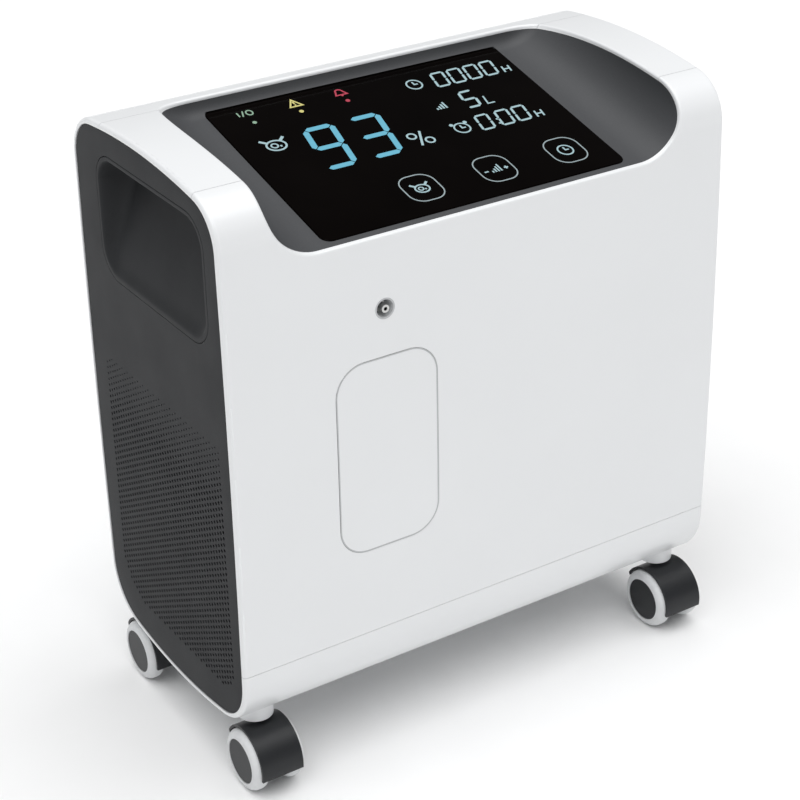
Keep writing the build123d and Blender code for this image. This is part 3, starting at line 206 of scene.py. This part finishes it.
def spark_eroded(name, colour, roughness, pitch, depth):
    """Dark plastic from a spark-eroded mould: small rounded pits and a mottled tone."""
    material, tree, shader, place = blank_material(name)
    pits = cells(tree, place, pitch)
    mottle = noise(tree, place, pitch * 0.7)
    low = [c * 0.9 for c in colour]
    high = [c * 1.12 for c in colour]
    tree.links.new(ramp(tree, mottle, low, high), shader.inputs["Base Color"])
    patches = noise(tree, place, DARK_GLOSS_SCALE)
    uneven_gloss(tree, shader, patches, roughness * 0.9, roughness * 1.1)
    shader.inputs["Specular IOR Level"].default_value = 0.35
    bump(tree, shader, pits, depth)
    return material


def metal(name, colour, roughness, stretch, grain=900):
    """Bare metal with a drawn or turned grain along one direction."""
    material, tree, shader, place = blank_material(name)
    mapping = tree.nodes.new("ShaderNodeMapping")
    mapping.inputs["Scale"].default_value = stretch
    tree.links.new(place, mapping.inputs["Vector"])
    lines = noise(tree, mapping.outputs["Vector"], grain, 4.0)
    low = [c * 0.82 for c in colour]
    tree.links.new(ramp(tree, lines, low, colour), shader.inputs["Base Color"])
    uneven_gloss(tree, shader, lines, roughness * 0.75, roughness * 1.25)
    shader.inputs["Metallic"].default_value = 1.0
    bump(tree, shader, lines, METAL_RELIEF)
    return material


def rubber(name, colour, roughness):
    """Polyurethane or rubber: matt, faintly mottled, with a dusty sheen."""
    material, tree, shader, place = blank_material(name)
    low = [c * 0.94 for c in colour]
    tree.links.new(ramp(tree, noise(tree, place, 160), low, colour), shader.inputs["Base Color"])
    patches = noise(tree, place, 300)
    uneven_gloss(tree, shader, patches, roughness * 0.9, min(1.0, roughness * 1.1))
    shader.inputs["Sheen Weight"].default_value = 0.15
    bump(tree, shader, noise(tree, place, 2500, 2.0), RUBBER_RELIEF)
    return material


def black_glass():
    """The display window: smoked acrylic, almost black, with a faint smoky change of tone."""
    material, tree, shader, place = blank_material("display_window")
    smoke = ramp(tree, noise(tree, place, 14), (0.0014, 0.0009, 0.0008), (0.0024, 0.0017, 0.0015))
    tree.links.new(smoke, shader.inputs["Base Color"])
    uneven_gloss(tree, shader, noise(tree, place, 120), 0.07, 0.11)
    shader.inputs["Specular IOR Level"].default_value = 0.02
    return material


def foam():
    """Open-cell filter foam: deep rounded cells."""
    material, tree, shader, place = blank_material("filter_foam")
    pores = cells(tree, place, FOAM_CELLS)
    tone = ramp(tree, pores, (0.09, 0.09, 0.095), (0.012, 0.012, 0.013), 0.1, 0.6)
    tree.links.new(tone, shader.inputs["Base Color"])
    shader.inputs["Roughness"].default_value = 0.95
    bump(tree, shader, pores, FOAM_RELIEF)
    return material


def circuit_board():
    """Solder mask with paler copper tracks under it."""
    material, tree, shader, place = blank_material("circuit_board")
    tracks = tree.nodes.new("ShaderNodeTexBrick")
    tracks.inputs["Scale"].default_value = TRACK_SCALE
    tracks.inputs["Color1"].default_value = (0.012, 0.13, 0.045, 1)
    tracks.inputs["Color2"].default_value = (0.016, 0.16, 0.055, 1)
    tracks.inputs["Mortar"].default_value = (0.04, 0.26, 0.10, 1)
    tree.links.new(place, tracks.inputs["Vector"])
    tree.links.new(tracks.outputs["Color"], shader.inputs["Base Color"])
    shader.inputs["Roughness"].default_value = 0.35
    bump(tree, shader, tracks.outputs["Fac"], TRACK_RELIEF)
    return material


def lit(name, colour):
    """A lit mark of the display, a touch uneven where the light guide spreads it."""
    material, tree, shader, place = blank_material(name)
    low = [c * 0.9 for c in colour]
    glow = ramp(tree, noise(tree, place, 260), low, colour)
    tree.links.new(glow, shader.inputs["Emission Color"])
    shader.inputs["Emission Strength"].default_value = 1.0
    shader.inputs["Base Color"].default_value = MARK_BASE
    shader.inputs["Roughness"].default_value = 0.5
    shader.inputs["Specular IOR Level"].default_value = 0.1
    return material


FINISH = {
    "white_shell": plastic("white_shell", (0.82, 0.83, 0.84), 0.008, 0.32, 1800, 0.000012, coat=0.25),
    "dark_panel": spark_eroded("dark_panel", (0.016, 0.017, 0.019), 0.66, 2200, 0.00005),
    "tray_grey": spark_eroded("tray_grey", (0.060, 0.062, 0.066), 0.5, 2600, 0.00003),
    "black_glass": black_glass(),
    "circuit_board": circuit_board(),
    "filter_foam": foam(),
    "inner_plastic": plastic("inner_plastic", (0.30, 0.31, 0.32), 0.05, 0.55, 900, 0.00003),
    "outlet_grey": plastic("outlet_grey", (0.50, 0.51, 0.52), 0.04, 0.38, 2400, 0.00002),
    "outlet_metal": metal("outlet_metal", (0.62, 0.62, 0.61), 0.3, (1, 40, 1)),
    "black_fitting": plastic("black_fitting", (0.022, 0.022, 0.024), 0.15, 0.42, 1500, 0.00003),
    "button_red": plastic("button_red", (0.5, 0.03, 0.02), 0.08, 0.3, 1500, 0.00001, coat=0.3),
    "wheel_tread": rubber("wheel_tread", (0.72, 0.73, 0.74), 0.6),
    "caster_dark": spark_eroded("caster_dark", (0.014, 0.015, 0.017), 0.42, 1800, 0.00003),
    "steel": metal("steel", (0.55, 0.55, 0.56), 0.34, (1, 1, 14)),
    "rubber_black": rubber("rubber_black", (0.025, 0.025, 0.026), 0.8),
    "cast_aluminium": metal("cast_aluminium", (0.62, 0.63, 0.64), 0.5, (1, 1, 1), 420),
    "hose_clear": plastic("hose_clear", (0.55, 0.56, 0.55), 0.06, 0.45, 700, 0.00002),
}


def dress_nodes():
    """Every CAD node that stays visible takes the finish of its slot."""
    for part in frame["record"]["subparts"]:
        mesh = NODES[part["node"]].data
        mesh.materials.clear()
        mesh.materials.append(FINISH[part["material_slot"]])


# ---------------------------------------------------------------- mesh helpers
FLATNESS = 1e-6  # how far a flat face's corners may stray from its plane
DECIMALS = 6  # two corners that agree this far, in metres, count as one
WELD = 1e-7  # points of a piece closer than this are joined


def make_piece(name, verts, faces, material, body="body", replaces=(), sharp=35.0):
    """One closed mesh as a piece that rides on a body, smooth but for its sharp edges."""
    mesh = bpy.data.meshes.new(name)
    mesh.from_pydata(verts, [], faces)
    shape = bmesh.new()
    shape.from_mesh(mesh)
    bmesh.ops.remove_doubles(shape, verts=shape.verts, dist=WELD)
    bmesh.ops.recalc_face_normals(shape, faces=shape.faces)
    shape.to_mesh(mesh)
    shape.free()
    mesh.polygons.foreach_set("use_smooth", [True] * len(mesh.polygons))
    mesh.set_sharp_from_angle(angle=math.radians(sharp))
    mesh.materials.append(material)
    piece = bpy.data.objects.new(name, mesh)
    bpy.context.scene.collection.objects.link(piece)
    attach(piece, body)
    if replaces:
        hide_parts(*replaces)
    return piece


def face_outlines(rings):
    """The closed outlines round a set of adjoining faces, each given as its ring of corners."""
    edges = set()
    for ring in rings:
        edges.update(zip(ring, ring[1:] + ring[:1]))
    following = {a: b for a, b in edges if (b, a) not in edges and a != b}
    loops = []
    while following:
        start, here = following.popitem()
        loop = [start]
        while here != start:
            loop.append(here)
            here = following.pop(here)
        loops.append(loop)
    return loops


def length_round(loop):
    """The length of a closed outline."""
    return sum(math.dist(a, b) for a, b in zip(loop, loop[1:] + loop[:1]))


def panel_outlines(side, sign):
    """An end panel's outer X, its rim and its grip opening, both as closed (y, z) outlines."""
    low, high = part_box(f"side_panel_{side}")
    face_x = high.x if sign > 0 else low.x
    mesh = NODES[f"side_panel_{side}"].data
    rings = []
    for face in mesh.polygons:
        corners = [mesh.vertices[i].co for i in face.vertices]
        if all(abs(c.x - face_x) < FLATNESS for c in corners):
            rings.append([(round(c.y, DECIMALS), round(c.z, DECIMALS)) for c in corners])
    loops = sorted(face_outlines(rings), key=length_round, reverse=True)
    opening = max(loops[1:], key=lambda loop: max(z for y, z in loop))
    return face_x, loops[0], opening


def drawn_in(loop, amount):
    """A closed outline, moved square to itself towards its inside."""
    area = sum(a[0] * b[1] - b[0] * a[1] for a, b in zip(loop, loop[1:] + loop[:1]))
    turn = 1 if area > 0 else -1
    moved = []
    for before, here, after in zip(loop[-1:] + loop[:-1], loop, loop[1:] + loop[:1]):
        along = (Vector(after) - Vector(before)).normalized()
        moved.append((here[0] - turn * along.y * amount, here[1] + turn * along.x * amount))
    return moved


def rounded_outline(half_y, half_z, radius, arc_steps=12):
    """A rounded rectangle round (0, 0): its points, counterclockwise, from the lower right."""
    points = []
    corners = ((1, -1, -90), (1, 1, 0), (-1, 1, 90), (-1, -1, 180))
    for sy, sz, start in corners:
        for step in range(arc_steps + 1):
            angle = math.radians(start + 90 * step / arc_steps)
            y = sy * (half_y - radius) + radius * math.cos(angle)
            z = sz * (half_z - radius) + radius * math.sin(angle)
            points.append((y, z))
    return points


def bands(rows):
    """Quads between successive closed rows of the same number of points."""
    faces = []
    for upper, lower in zip(rows, rows[1:]):
        for k in range(len(upper)):
            after = (k + 1) % len(upper)
            faces.append((upper[k], upper[after], lower[after], lower[k]))
    return faces


# ---------------------------------------------------------------- perforated end panels
VENT_PITCH = 4.95 * MM
VENT_RADIUS = 1.45 * MM
VENT_SIDES = 8
VENT_TOP_GROWTH = 13 * MM  # fine openings above the coarse grille's field
VENT_FRONT_GROWTH = 8 * MM
VENT_FADE = 45 * MM  # height over which the openings shrink to half, at the top
VENT_TOP_CORNER = 8 * MM
VENT_REAR_CORNER = 42 * MM
VENT_FRONT_CORNER = 26 * MM
PANEL_SHEET = 2.4 * MM
PANEL_ROLL = 0.9 * MM  # rounding of the rim
PANEL_ROLL_STEPS = 5


def vent_rings(low, high):
    """Small round openings in upright columns, inside a field that fades out at its top."""
    low_y, high_y = low.y - VENT_FRONT_GROWTH, high.y
    low_z, high_z = low.z, high.z + VENT_TOP_GROWTH
    column = VENT_PITCH * math.cos(math.radians(30))
    rings = []
    for i in range(int((high_y - low_y) / column) + 1):
        for j in range(int((high_z - low_z) / VENT_PITCH) + 1):
            y = low_y + i * column
            z = low_z + (j + 0.5 * (i % 2)) * VENT_PITCH
            corner = VENT_TOP_CORNER
            if z < (low_z + high_z) / 2:
                corner = VENT_REAR_CORNER if y > 0 else VENT_FRONT_CORNER
            over_y = max(0.0, y - (high_y - corner), low_y + corner - y)
            over_z = max(0.0, z - (high_z - corner), low_z + corner - z)
            if math.hypot(over_y, over_z) > corner - VENT_RADIUS:
                continue
            radius = VENT_RADIUS * min(1.0, 0.5 + 0.5 * (high_z - z) / VENT_FADE)
            turns = [math.tau * (k + 0.5) / VENT_SIDES for k in range(VENT_SIDES)]
            rings.append([(y + radius * math.cos(t), z + radius * math.sin(t)) for t in turns])
    return rings


def panel_sheet(rim, openings):
    """A flat sheet inside a rim, round its openings: its points, its triangles and its outlines' edges."""
    points = []
    edges = []
    owner = []
    for number, loop in enumerate([rim] + openings):
        first = len(points)
        points += loop
        owner += [number] * len(loop)
        edges += [(first + k, first + (k + 1) % len(loop)) for k in range(len(loop))]
    made = delaunay_2d_cdt([Vector(p) for p in points], edges, [], 0, WELD / 10)
    origin = [sources[0] for sources in made[3]]
    triangles = []
    for triangle in made[2]:
        corners = [origin[k] for k in triangle]
        if len({owner[k] for k in corners}) > 1 or owner[corners[0]] == 0:
            triangles.append(corners)
    return points, triangles, edges


def end_panel(side, sign):
    """The dark end panel in one moulding: a rolled rim, the grip opening and the fine vents."""
    face_x, rim, grip = panel_outlines(side, sign)
    vents = vent_rings(*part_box(f"vent_grille_{side}"))
    points, triangles, edges = panel_sheet(drawn_in(rim, PANEL_ROLL), [grip] + vents)
    count = len(points)
    back_x = face_x - sign * PANEL_SHEET
    verts = [(face_x, y, z) for y, z in points] + [(back_x, y, z) for y, z in points]
    faces = [tuple(t) for t in triangles]
    faces += [tuple(count + k for k in reversed(t)) for t in triangles]
    faces += [(a, b, count + b, count + a) for a, b in edges[len(rim):]]
    rows = [range(len(rim))]
    for step in range(1, PANEL_ROLL_STEPS + 1):
        angle = math.pi / 2 * step / PANEL_ROLL_STEPS
        row = drawn_in(rim, PANEL_ROLL * (1 - math.sin(angle)))
        x = face_x - sign * PANEL_ROLL * (1 - math.cos(angle))
        rows.append(range(len(verts), len(verts) + len(row)))
        verts += [(x, y, z) for y, z in row]
    rows.append(range(len(verts), len(verts) + len(rim)))
    verts += [(back_x, y, z) for y, z in rim]
    rows.append(range(count, count + len(rim)))
    faces += bands(rows)
    make_piece(
        f"end_panel_{side}", verts, faces, FINISH["dark_panel"],
        replaces=(f"side_panel_{side}", f"vent_grille_{side}"),
    )


# ---------------------------------------------------------------- grip pockets
GRIP_CORNER = 24 * MM
GRIP_WALL = 2.4 * MM
GRIP_TOE = 1.0 * MM  # depth of the pocket's floor at its foot
GRIP_FLAT = 12 * MM  # flat back under the upper edge
GRIP_BAND = 2.6 * MM  # flat rim round the pocket
GRIP_LIP = 2.6 * MM  # rounding of the pocket's lip
GRIP_SWEEP = 19 * MM  # how far in the wall turns into the floor
GRIP_SWELL = 0.06  # slight belly of the floor, as a share of its depth
GRIP_SEAM = 0.5 * MM  # gap between the pocket and the panel
GRIP_SKIN = 1.6 * MM
# The pocket's rings, in millimetres in from its outline, and the steps that close the floor inside them.
GRIP_INSETS = (
    0.0, 0.5, 1.0, 1.6, 2.2, 2.8, 3.4, 4.0, 4.6, 5.2, 5.8,
    6.5, 7.3, 8.2, 9.2, 10.4, 12.0, 13.6, 15.2, 17.0, 19.0, 21.0,
)
GRIP_SHRINK_STEPS = 8


def grip_pocket(side, sign):
    """The finger pocket: a rolled lip, steep upper walls and a floor that slopes out at its foot."""
    node = f"grip_cup_{side}"
    face_x, _, opening = panel_outlines(side, sign)
    ys = [y for y, z in opening]
    zs = [z for y, z in opening]
    half_y = (max(ys) - min(ys)) / 2 - GRIP_SEAM
    half_z = (max(zs) - min(zs)) / 2 - GRIP_SEAM
    mid_y = (max(ys) + min(ys)) / 2
    mid_z = (max(zs) + min(zs)) / 2
    low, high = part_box(node)
    deepest = abs(face_x - (low.x if sign > 0 else high.x)) - GRIP_WALL
    rows = []
    verts = []

    def depth(inset, z):
        rise = (z - (mid_z - half_z)) / (2 * half_z - GRIP_FLAT)
        rise = min(1.0, max(0.0, rise))
        floor = GRIP_TOE + (deepest - GRIP_TOE) * (rise - GRIP_SWELL * math.sin(math.tau * rise) / 2)
        run = (math.hypot(max(0.0, inset - GRIP_BAND), GRIP_LIP) - GRIP_LIP) / (GRIP_SWEEP - GRIP_LIP)
        return floor * (1 - (1 - min(1.0, run)) ** 5)

    def add_ring(inset, scale, sweep):
        ring = rounded_outline(half_y - inset, half_z - inset, GRIP_CORNER - inset)
        rows.append(range(len(verts), len(verts) + len(ring)))
        for y, z in ring:
            spot_z = z * scale + mid_z
            verts.append((face_x - sign * depth(sweep, spot_z), y * scale + mid_y, spot_z))

    for inset in GRIP_INSETS:
        add_ring(inset * MM, 1, inset * MM)
    for step in range(1, GRIP_SHRINK_STEPS):
        add_ring(GRIP_INSETS[-1] * MM, 1 - step / GRIP_SHRINK_STEPS, GRIP_SWEEP)
    faces = bands(rows)
    faces.append(tuple(rows[-1]))
    pocket = make_piece(
        f"grip_pocket_{side}", verts, faces, FINISH["dark_panel"], replaces=(node,), sharp=80
    )
    if pocket.data.polygons[-1].normal.x * sign < 0:
        pocket.data.flip_normals()
    skin = pocket.modifiers.new("wall", "SOLIDIFY")
    skin.thickness = GRIP_SKIN
    skin.offset = -1


# ---------------------------------------------------------------- painted shade in the gap round the filter cover
GAP_SHADE_WIDTH = 1.0 * MM
GAP_SHADE_PROUD = 0.12 * MM
GAP_SHADE_SINK = 0.4 * MM
COVER_CURVE = 3 * MM  # how far the cover's curved face falls back


def painted_cover_gap_shade():
    """A thin grey strip just proud of the face, round the filter cover: painted shade standing in for the
    shaded gap round it.
    """
    mesh = NODES["filter_cover"].data
    front = min(v.co.y for v in mesh.vertices)
    rings = []
    for face in mesh.polygons:
        corners = [mesh.vertices[i].co for i in face.vertices]
        if face.normal.y < -0.9 and all(c.y < front + COVER_CURVE for c in corners):
            rings.append([tuple(round(v, DECIMALS) for v in (c.x, c.z, c.y)) for c in corners])
    rim = max(face_outlines(rings), key=lambda loop: length_round([p[:2] for p in loop]))
    outer = [p[:2] for p in rim]
    inner = drawn_in(outer, GAP_SHADE_WIDTH)
    verts = []
    for line, lift in ((outer, GAP_SHADE_PROUD), (inner, GAP_SHADE_PROUD), (inner, -GAP_SHADE_SINK), (outer, -GAP_SHADE_SINK)):
        verts += [(x, p[2] - lift, z) for (x, z), p in zip(line, rim)]
    count = len(rim)
    rows = [range(k * count, (k + 1) * count) for k in (0, 1, 2, 3, 0)]
    # The grey strip is painted shade, put where the cover's gap lies in shadow.
    make_piece("filter_cover_gap_shade", verts, bands(rows), FINISH["outlet_grey"], "filter_cover")


# ---------------------------------------------------------------- the lit display
# Sizes and places on the display are in millimetres from the middle of the glass.
MARK_PROUD = 0.12
MARK_SINK = 0.05
KEY_X = (-32.0, 31.3, 94.6)
KEY_Y = -58.3
KEY_HALF = (14.2, 15.6)
KEY_CORNER = 10.5
KEY_LINE = 0.95
SMALL_DIGIT = (12.5, 20, 1.9)  # width, height and thickness of the bars
FLOW_DIGIT = (13, 23, 2.2)
LARGE_DIGIT = (27, 54, 4.7)


def display_plane():
    """A matrix that takes display millimetres (across, up the slope, out) to the glass."""
    mesh = NODES["display_glass"].data
    largest = max(mesh.polygons, key=lambda face: face.area if face.normal.z > 0.5 else 0)
    out = largest.normal.copy()
    across = Vector((1, 0, 0))
    slope = out.cross(across).normalized()
    top = [mesh.vertices[i].co for f in mesh.polygons if f.normal.dot(out) > 0.999 for i in f.vertices]
    run = [p.dot(slope) for p in top]
    span = [p.x for p in top]
    centre = across * (max(span) + min(span)) / 2 + slope * (max(run) + min(run)) / 2
    centre += out * top[0].dot(out)
    turn = Matrix((across, slope, out)).transposed().to_4x4()
    return Matrix.Translation(centre) @ turn @ Matrix.Scale(MM, 4)


def bar(a, b, width):
    """A straight lit bar with pointed ends, as a six-sided outline."""
    a, b = Vector(a), Vector(b)
    along = (b - a).normalized()
    square = Vector((-along.y, along.x)) * width / 2
    nose = along * width / 2
    return [a, a + nose + square, b - nose + square, b, b - nose - square, a + nose - square]


def stroke(points, width, closed=False):
    """A line of even width along a run of points, as one quad for each stretch."""
    spots = [Vector(p) for p in points]
    sides = []
    count = len(spots)
    for k, here in enumerate(spots):
        before = spots[k - 1] if closed or k else here
        after = spots[(k + 1) % count] if closed or k < count - 1 else here
        into = (here - before).normalized() if here != before else (after - here).normalized()
        away = (after - here).normalized() if here != after else into
        normal = Vector((-into.y - away.y, into.x + away.x)).normalized()
        reach = width / 2 / max(0.4, normal.dot(Vector((-into.y, into.x))))
        sides.append((here + normal * reach, here - normal * reach))
    following = sides[1:] + sides[:1] if closed else sides[1:]
    return [[a[0], b[0], b[1], a[1]] for a, b in zip(sides, following)]


def circle(centre, radius, steps=28):
    """Points of a circle."""
    turns = [math.tau * k / steps for k in range(steps)]
    return [(centre[0] + radius * math.cos(t), centre[1] + radius * math.sin(t)) for t in turns]


def dot(centre, radius, steps=16):
    """A filled circle, as a list of one shape."""
    return [[Vector(p) for p in circle(centre, radius, steps)]]


SEGMENTS = {"0": "abcdef", "3": "abcdg", "5": "acdfg", "9": "abcdfg"}
DIGIT_SLANT = math.tan(math.radians(10))


def digit(character, left, bottom, width, height, thick):
    """A seven-segment digit; left is its left edge at mid height."""
    gap = thick * 0.12  # between one bar's end and the next
    half = height / 2
    inner = width - thick
    rise = (height - thick) / 2
    spots = {
        "a": ((gap, 2 * rise), (inner - gap, 2 * rise)),
        "b": ((inner, 2 * rise - gap), (inner, rise + gap)),
        "c": ((inner, rise - gap), (inner, gap)),
        "d": ((gap, 0), (inner - gap, 0)),
        "e": ((0, rise - gap), (0, gap)),
        "f": ((0, 2 * rise - gap), (0, rise + gap)),
        "g": ((gap, rise), (inner - gap, rise)),
    }
    shapes = []
    for name in SEGMENTS[character]:
        ends = [(left + thick / 2 + x, bottom + thick / 2 + y) for x, y in spots[name]]
        shape = bar(*ends, thick)
        shapes.append([Vector((p.x + (p.y - bottom - half) * DIGIT_SLANT, p.y)) for p in shape])
    return shapes


def letter_h(centre, width, height, thick):
    """The unit mark for hours."""
    x, y = centre
    lean = height / 2 * DIGIT_SLANT
    shapes = []
    for post in (x - width / 2, x + width / 2):
        shapes += stroke([(post - lean, y - height / 2), (post + lean, y + height / 2)], thick)
    return shapes + stroke([(x - width / 2, y), (x + width / 2, y)], thick)


def clock_mark(centre, radius, thick):
    """A clock face: a ring with two hands."""
    x, y = centre
    shapes = stroke(circle(centre, radius), thick, closed=True)
    hands = [(x, y + radius * 0.6), (x, y), (x + radius * 0.5, y)]
    return shapes + stroke(hands, thick)


def alarm_mark(centre, radius, thick):
    """An alarm clock: a clock face with two bells."""
    x, y = centre
    shapes = clock_mark(centre, radius, thick)
    for turn in (45, 135):
        reach = radius * 1.38
        spot = (x + reach * math.cos(math.radians(turn)), y + reach * math.sin(math.radians(turn)))
        shapes += dot(spot, radius * 0.27, 12)
    return shapes


def level_mark(centre, width, height, thick, signs=False):
    """Rising level bars, with a minus and a plus beside them on the touch key."""
    x, y = centre
    shapes = []
    bars = 4
    pitch = width / bars
    for k in range(bars):
        left = x - width / 2 + pitch * (k + 0.5)
        top = y - height / 2 + height * (k + 1) / bars
        shapes += stroke([(left, y - height / 2), (left, top)], thick)
    if signs:
        arm = height * 0.2
        reach = width / 2 + 2.2 * arm
        shapes += stroke([(x - reach - arm, y - arm), (x - reach + arm, y - arm)], thick)
        shapes += stroke([(x + reach - arm, y - arm), (x + reach + arm, y - arm)], thick)
        shapes += stroke([(x + reach, y - 2 * arm), (x + reach, y)], thick)
    return shapes


def mask_mark(centre, radius, thick):
    """A breathing mask: an oval with two straps and a small ring."""
    x, y = centre
    oval = [(px, y + (py - y) * 0.82) for px, py in circle(centre, radius)]
    shapes = stroke(oval, thick, closed=True)
    shapes += stroke(circle((x - radius * 0.2, y), radius * 0.34, 16), thick * 0.8, closed=True)
    shapes += stroke([(x + radius * 0.4, y - radius * 0.1), (x + radius * 0.4, y - radius * 0.35)], thick)
    for way in (-1, 1):
        root = (x + way * radius * 0.72, y + radius * 0.62)
        tip = (x + way * radius * 1.3, y + radius * 1.15)
        shapes += stroke([root, tip], thick * 1.5)
    return shapes


def power_mark(centre, size, thick):
    """The on and off symbol: a bar, a stroke and a ring."""
    x, y = centre
    shapes = stroke([(x - size, y - size * 0.5), (x - size, y + size * 0.5)], thick)
    shapes += stroke([(x - size * 0.55, y - size * 0.6), (x - size * 0.1, y + size * 0.6)], thick)
    oval = [(px, y + (py - y) * 1.2) for px, py in circle((x + size * 0.65, y), size * 0.45)]
    return shapes + stroke(oval, thick, closed=True)


def warning_mark(centre, size, thick):
    """A warning triangle with its dot and stroke."""
    x, y = centre
    corners = [(x - size, y - size * 0.75), (x + size, y - size * 0.75), (x, y + size)]
    shapes = stroke(corners, thick, closed=True)
    shapes += stroke([(x, y - size * 0.1), (x, y + size * 0.5)], thick)
    return shapes + dot((x, y - size * 0.42), thick * 0.6, 10)


def bell_mark(centre, size, thick):
    """An alarm bell with its clapper."""
    x, y = centre
    radius = size * 0.62
    turns = [math.radians(t) for t in range(0, 181, 15)]
    dome = [(x + radius * math.cos(t), y + size * 0.25 + radius * math.sin(t)) for t in turns]
    outline = [(x + size, y - size * 0.6), *dome, (x - size, y - size * 0.6)]
    shapes = stroke(outline, thick, closed=True)
    return shapes + dot((x, y - size * 0.85), size * 0.2, 12)


def percent_mark(centre, size, thick):
    """The per cent sign of the oxygen reading."""
    x, y = centre
    shapes = stroke([(x - size * 0.45, y - size), (x + size * 0.45, y + size)], thick)
    for way in (-1, 1):
        middle = (x + way * size * 0.62, y - way * size * 0.52)
        shapes += stroke(circle(middle, size * 0.4, 20), thick * 0.8, closed=True)
    return shapes


def print_on_glass(name, shapes, material, plane):
    """Lit shapes as one thin mesh just proud of the glass."""
    verts = []
    faces = []
    for shape in shapes:
        first = len(verts)
        count = len(shape)
        verts += [plane @ Vector((p[0], p[1], MARK_PROUD)) for p in shape]
        verts += [plane @ Vector((p[0], p[1], -MARK_SINK)) for p in shape]
        top = list(range(first, first + count))
        base = [k + count for k in top]
        faces.append(tuple(top))
        faces.append(tuple(reversed(base)))
        faces += [(a, d, c, b) for a, b, c, d in zip(top, top[1:] + top[:1], base[1:] + base[:1], base)]
    make_piece(name, verts, faces, material)


def make_display():
    """The reading, the timers, the flow, the lamps and the three touch keys."""
    plane = display_plane()
    reading = digit("9", -79, -14.2, *LARGE_DIGIT) + digit("3", -40, -14.2, *LARGE_DIGIT)
    print_on_glass("display_reading", reading, lit("lit_cyan", (0.155, 0.50, 0.665)), plane)

    thin = 1.25
    marks = []
    for k in range(4):
        marks += digit("0", 55.4 + 15 * k, 51, *SMALL_DIGIT)
    marks += letter_h((119.6, 55.0), 5.6, 8.0, 1.4)
    marks += digit("5", 60.6, 17, *FLOW_DIGIT)
    marks += stroke([(79.0, 28.0), (77.0, 17.8), (83.2, 17.8)], thin)
    for left in (53.6, 71.6, 86.8):
        marks += digit("0", left, -13, *SMALL_DIGIT)
    marks += dot((69.7, -8.8), 0.9) + dot((70.7, -3.2), 0.9)
    marks += letter_h((106.0, -8.6), 5.6, 8.0, 1.4)
    marks += clock_mark((38.6, 61.9), 6.2, thin)
    marks += level_mark((40.4, 28.4), 10.5, 8, 1.5)
    marks += alarm_mark((39.2, -3.6), 6.2, thin)
    marks += percent_mark((2.6, -3.5), 8.6, 1.8)
    marks += mask_mark((-100.6, 28.6), 7.6, 1.5)
    marks += mask_mark((KEY_X[0], KEY_Y - 1), 5.6, 1.2)
    marks += level_mark((KEY_X[1], KEY_Y), 9.5, 8.5, 1.2, signs=True)
    marks += clock_mark((KEY_X[2], KEY_Y), 6.0, 1.2)
    print_on_glass("display_marks", marks, lit("lit_pale", (0.42, 0.60, 0.64)), plane)

    keys = []
    for x in KEY_X:
        ring = [(x + px, KEY_Y + py) for px, py in rounded_outline(*KEY_HALF, KEY_CORNER, 8)]
        keys += stroke(ring, KEY_LINE, closed=True)
    print_on_glass("touch_keys", keys, lit("lit_key", (0.36, 0.44, 0.46)), plane)

    power = power_mark((-101.2, 74.4), 5.6, 1.1) + dot((-100.3, 61.3), 1.7)
    print_on_glass("display_power_lamp", power, lit("lit_green", (0.30, 0.46, 0.34)), plane)
    warning = warning_mark((-60.6, 72.9), 5.2, 1.3) + dot((-60.7, 61.6), 1.8)
    print_on_glass("display_warning_lamp", warning, lit("lit_yellow", (0.72, 0.66, 0.24)), plane)
    alarm = bell_mark((-20.9, 73.2), 4.8, 1.3) + dot((-20.8, 61.5), 1.8)
    print_on_glass("display_alarm_lamp", alarm, lit("lit_red", (0.52, 0.06, 0.10)), plane)


# ---------------------------------------------------------------- the whole model
make_camera()
make_light()
make_floor()
dress_nodes()
for side, sign in SIDES.items():
    end_panel(side, sign)
    grip_pocket(side, sign)
painted_cover_gap_shade()
make_display()
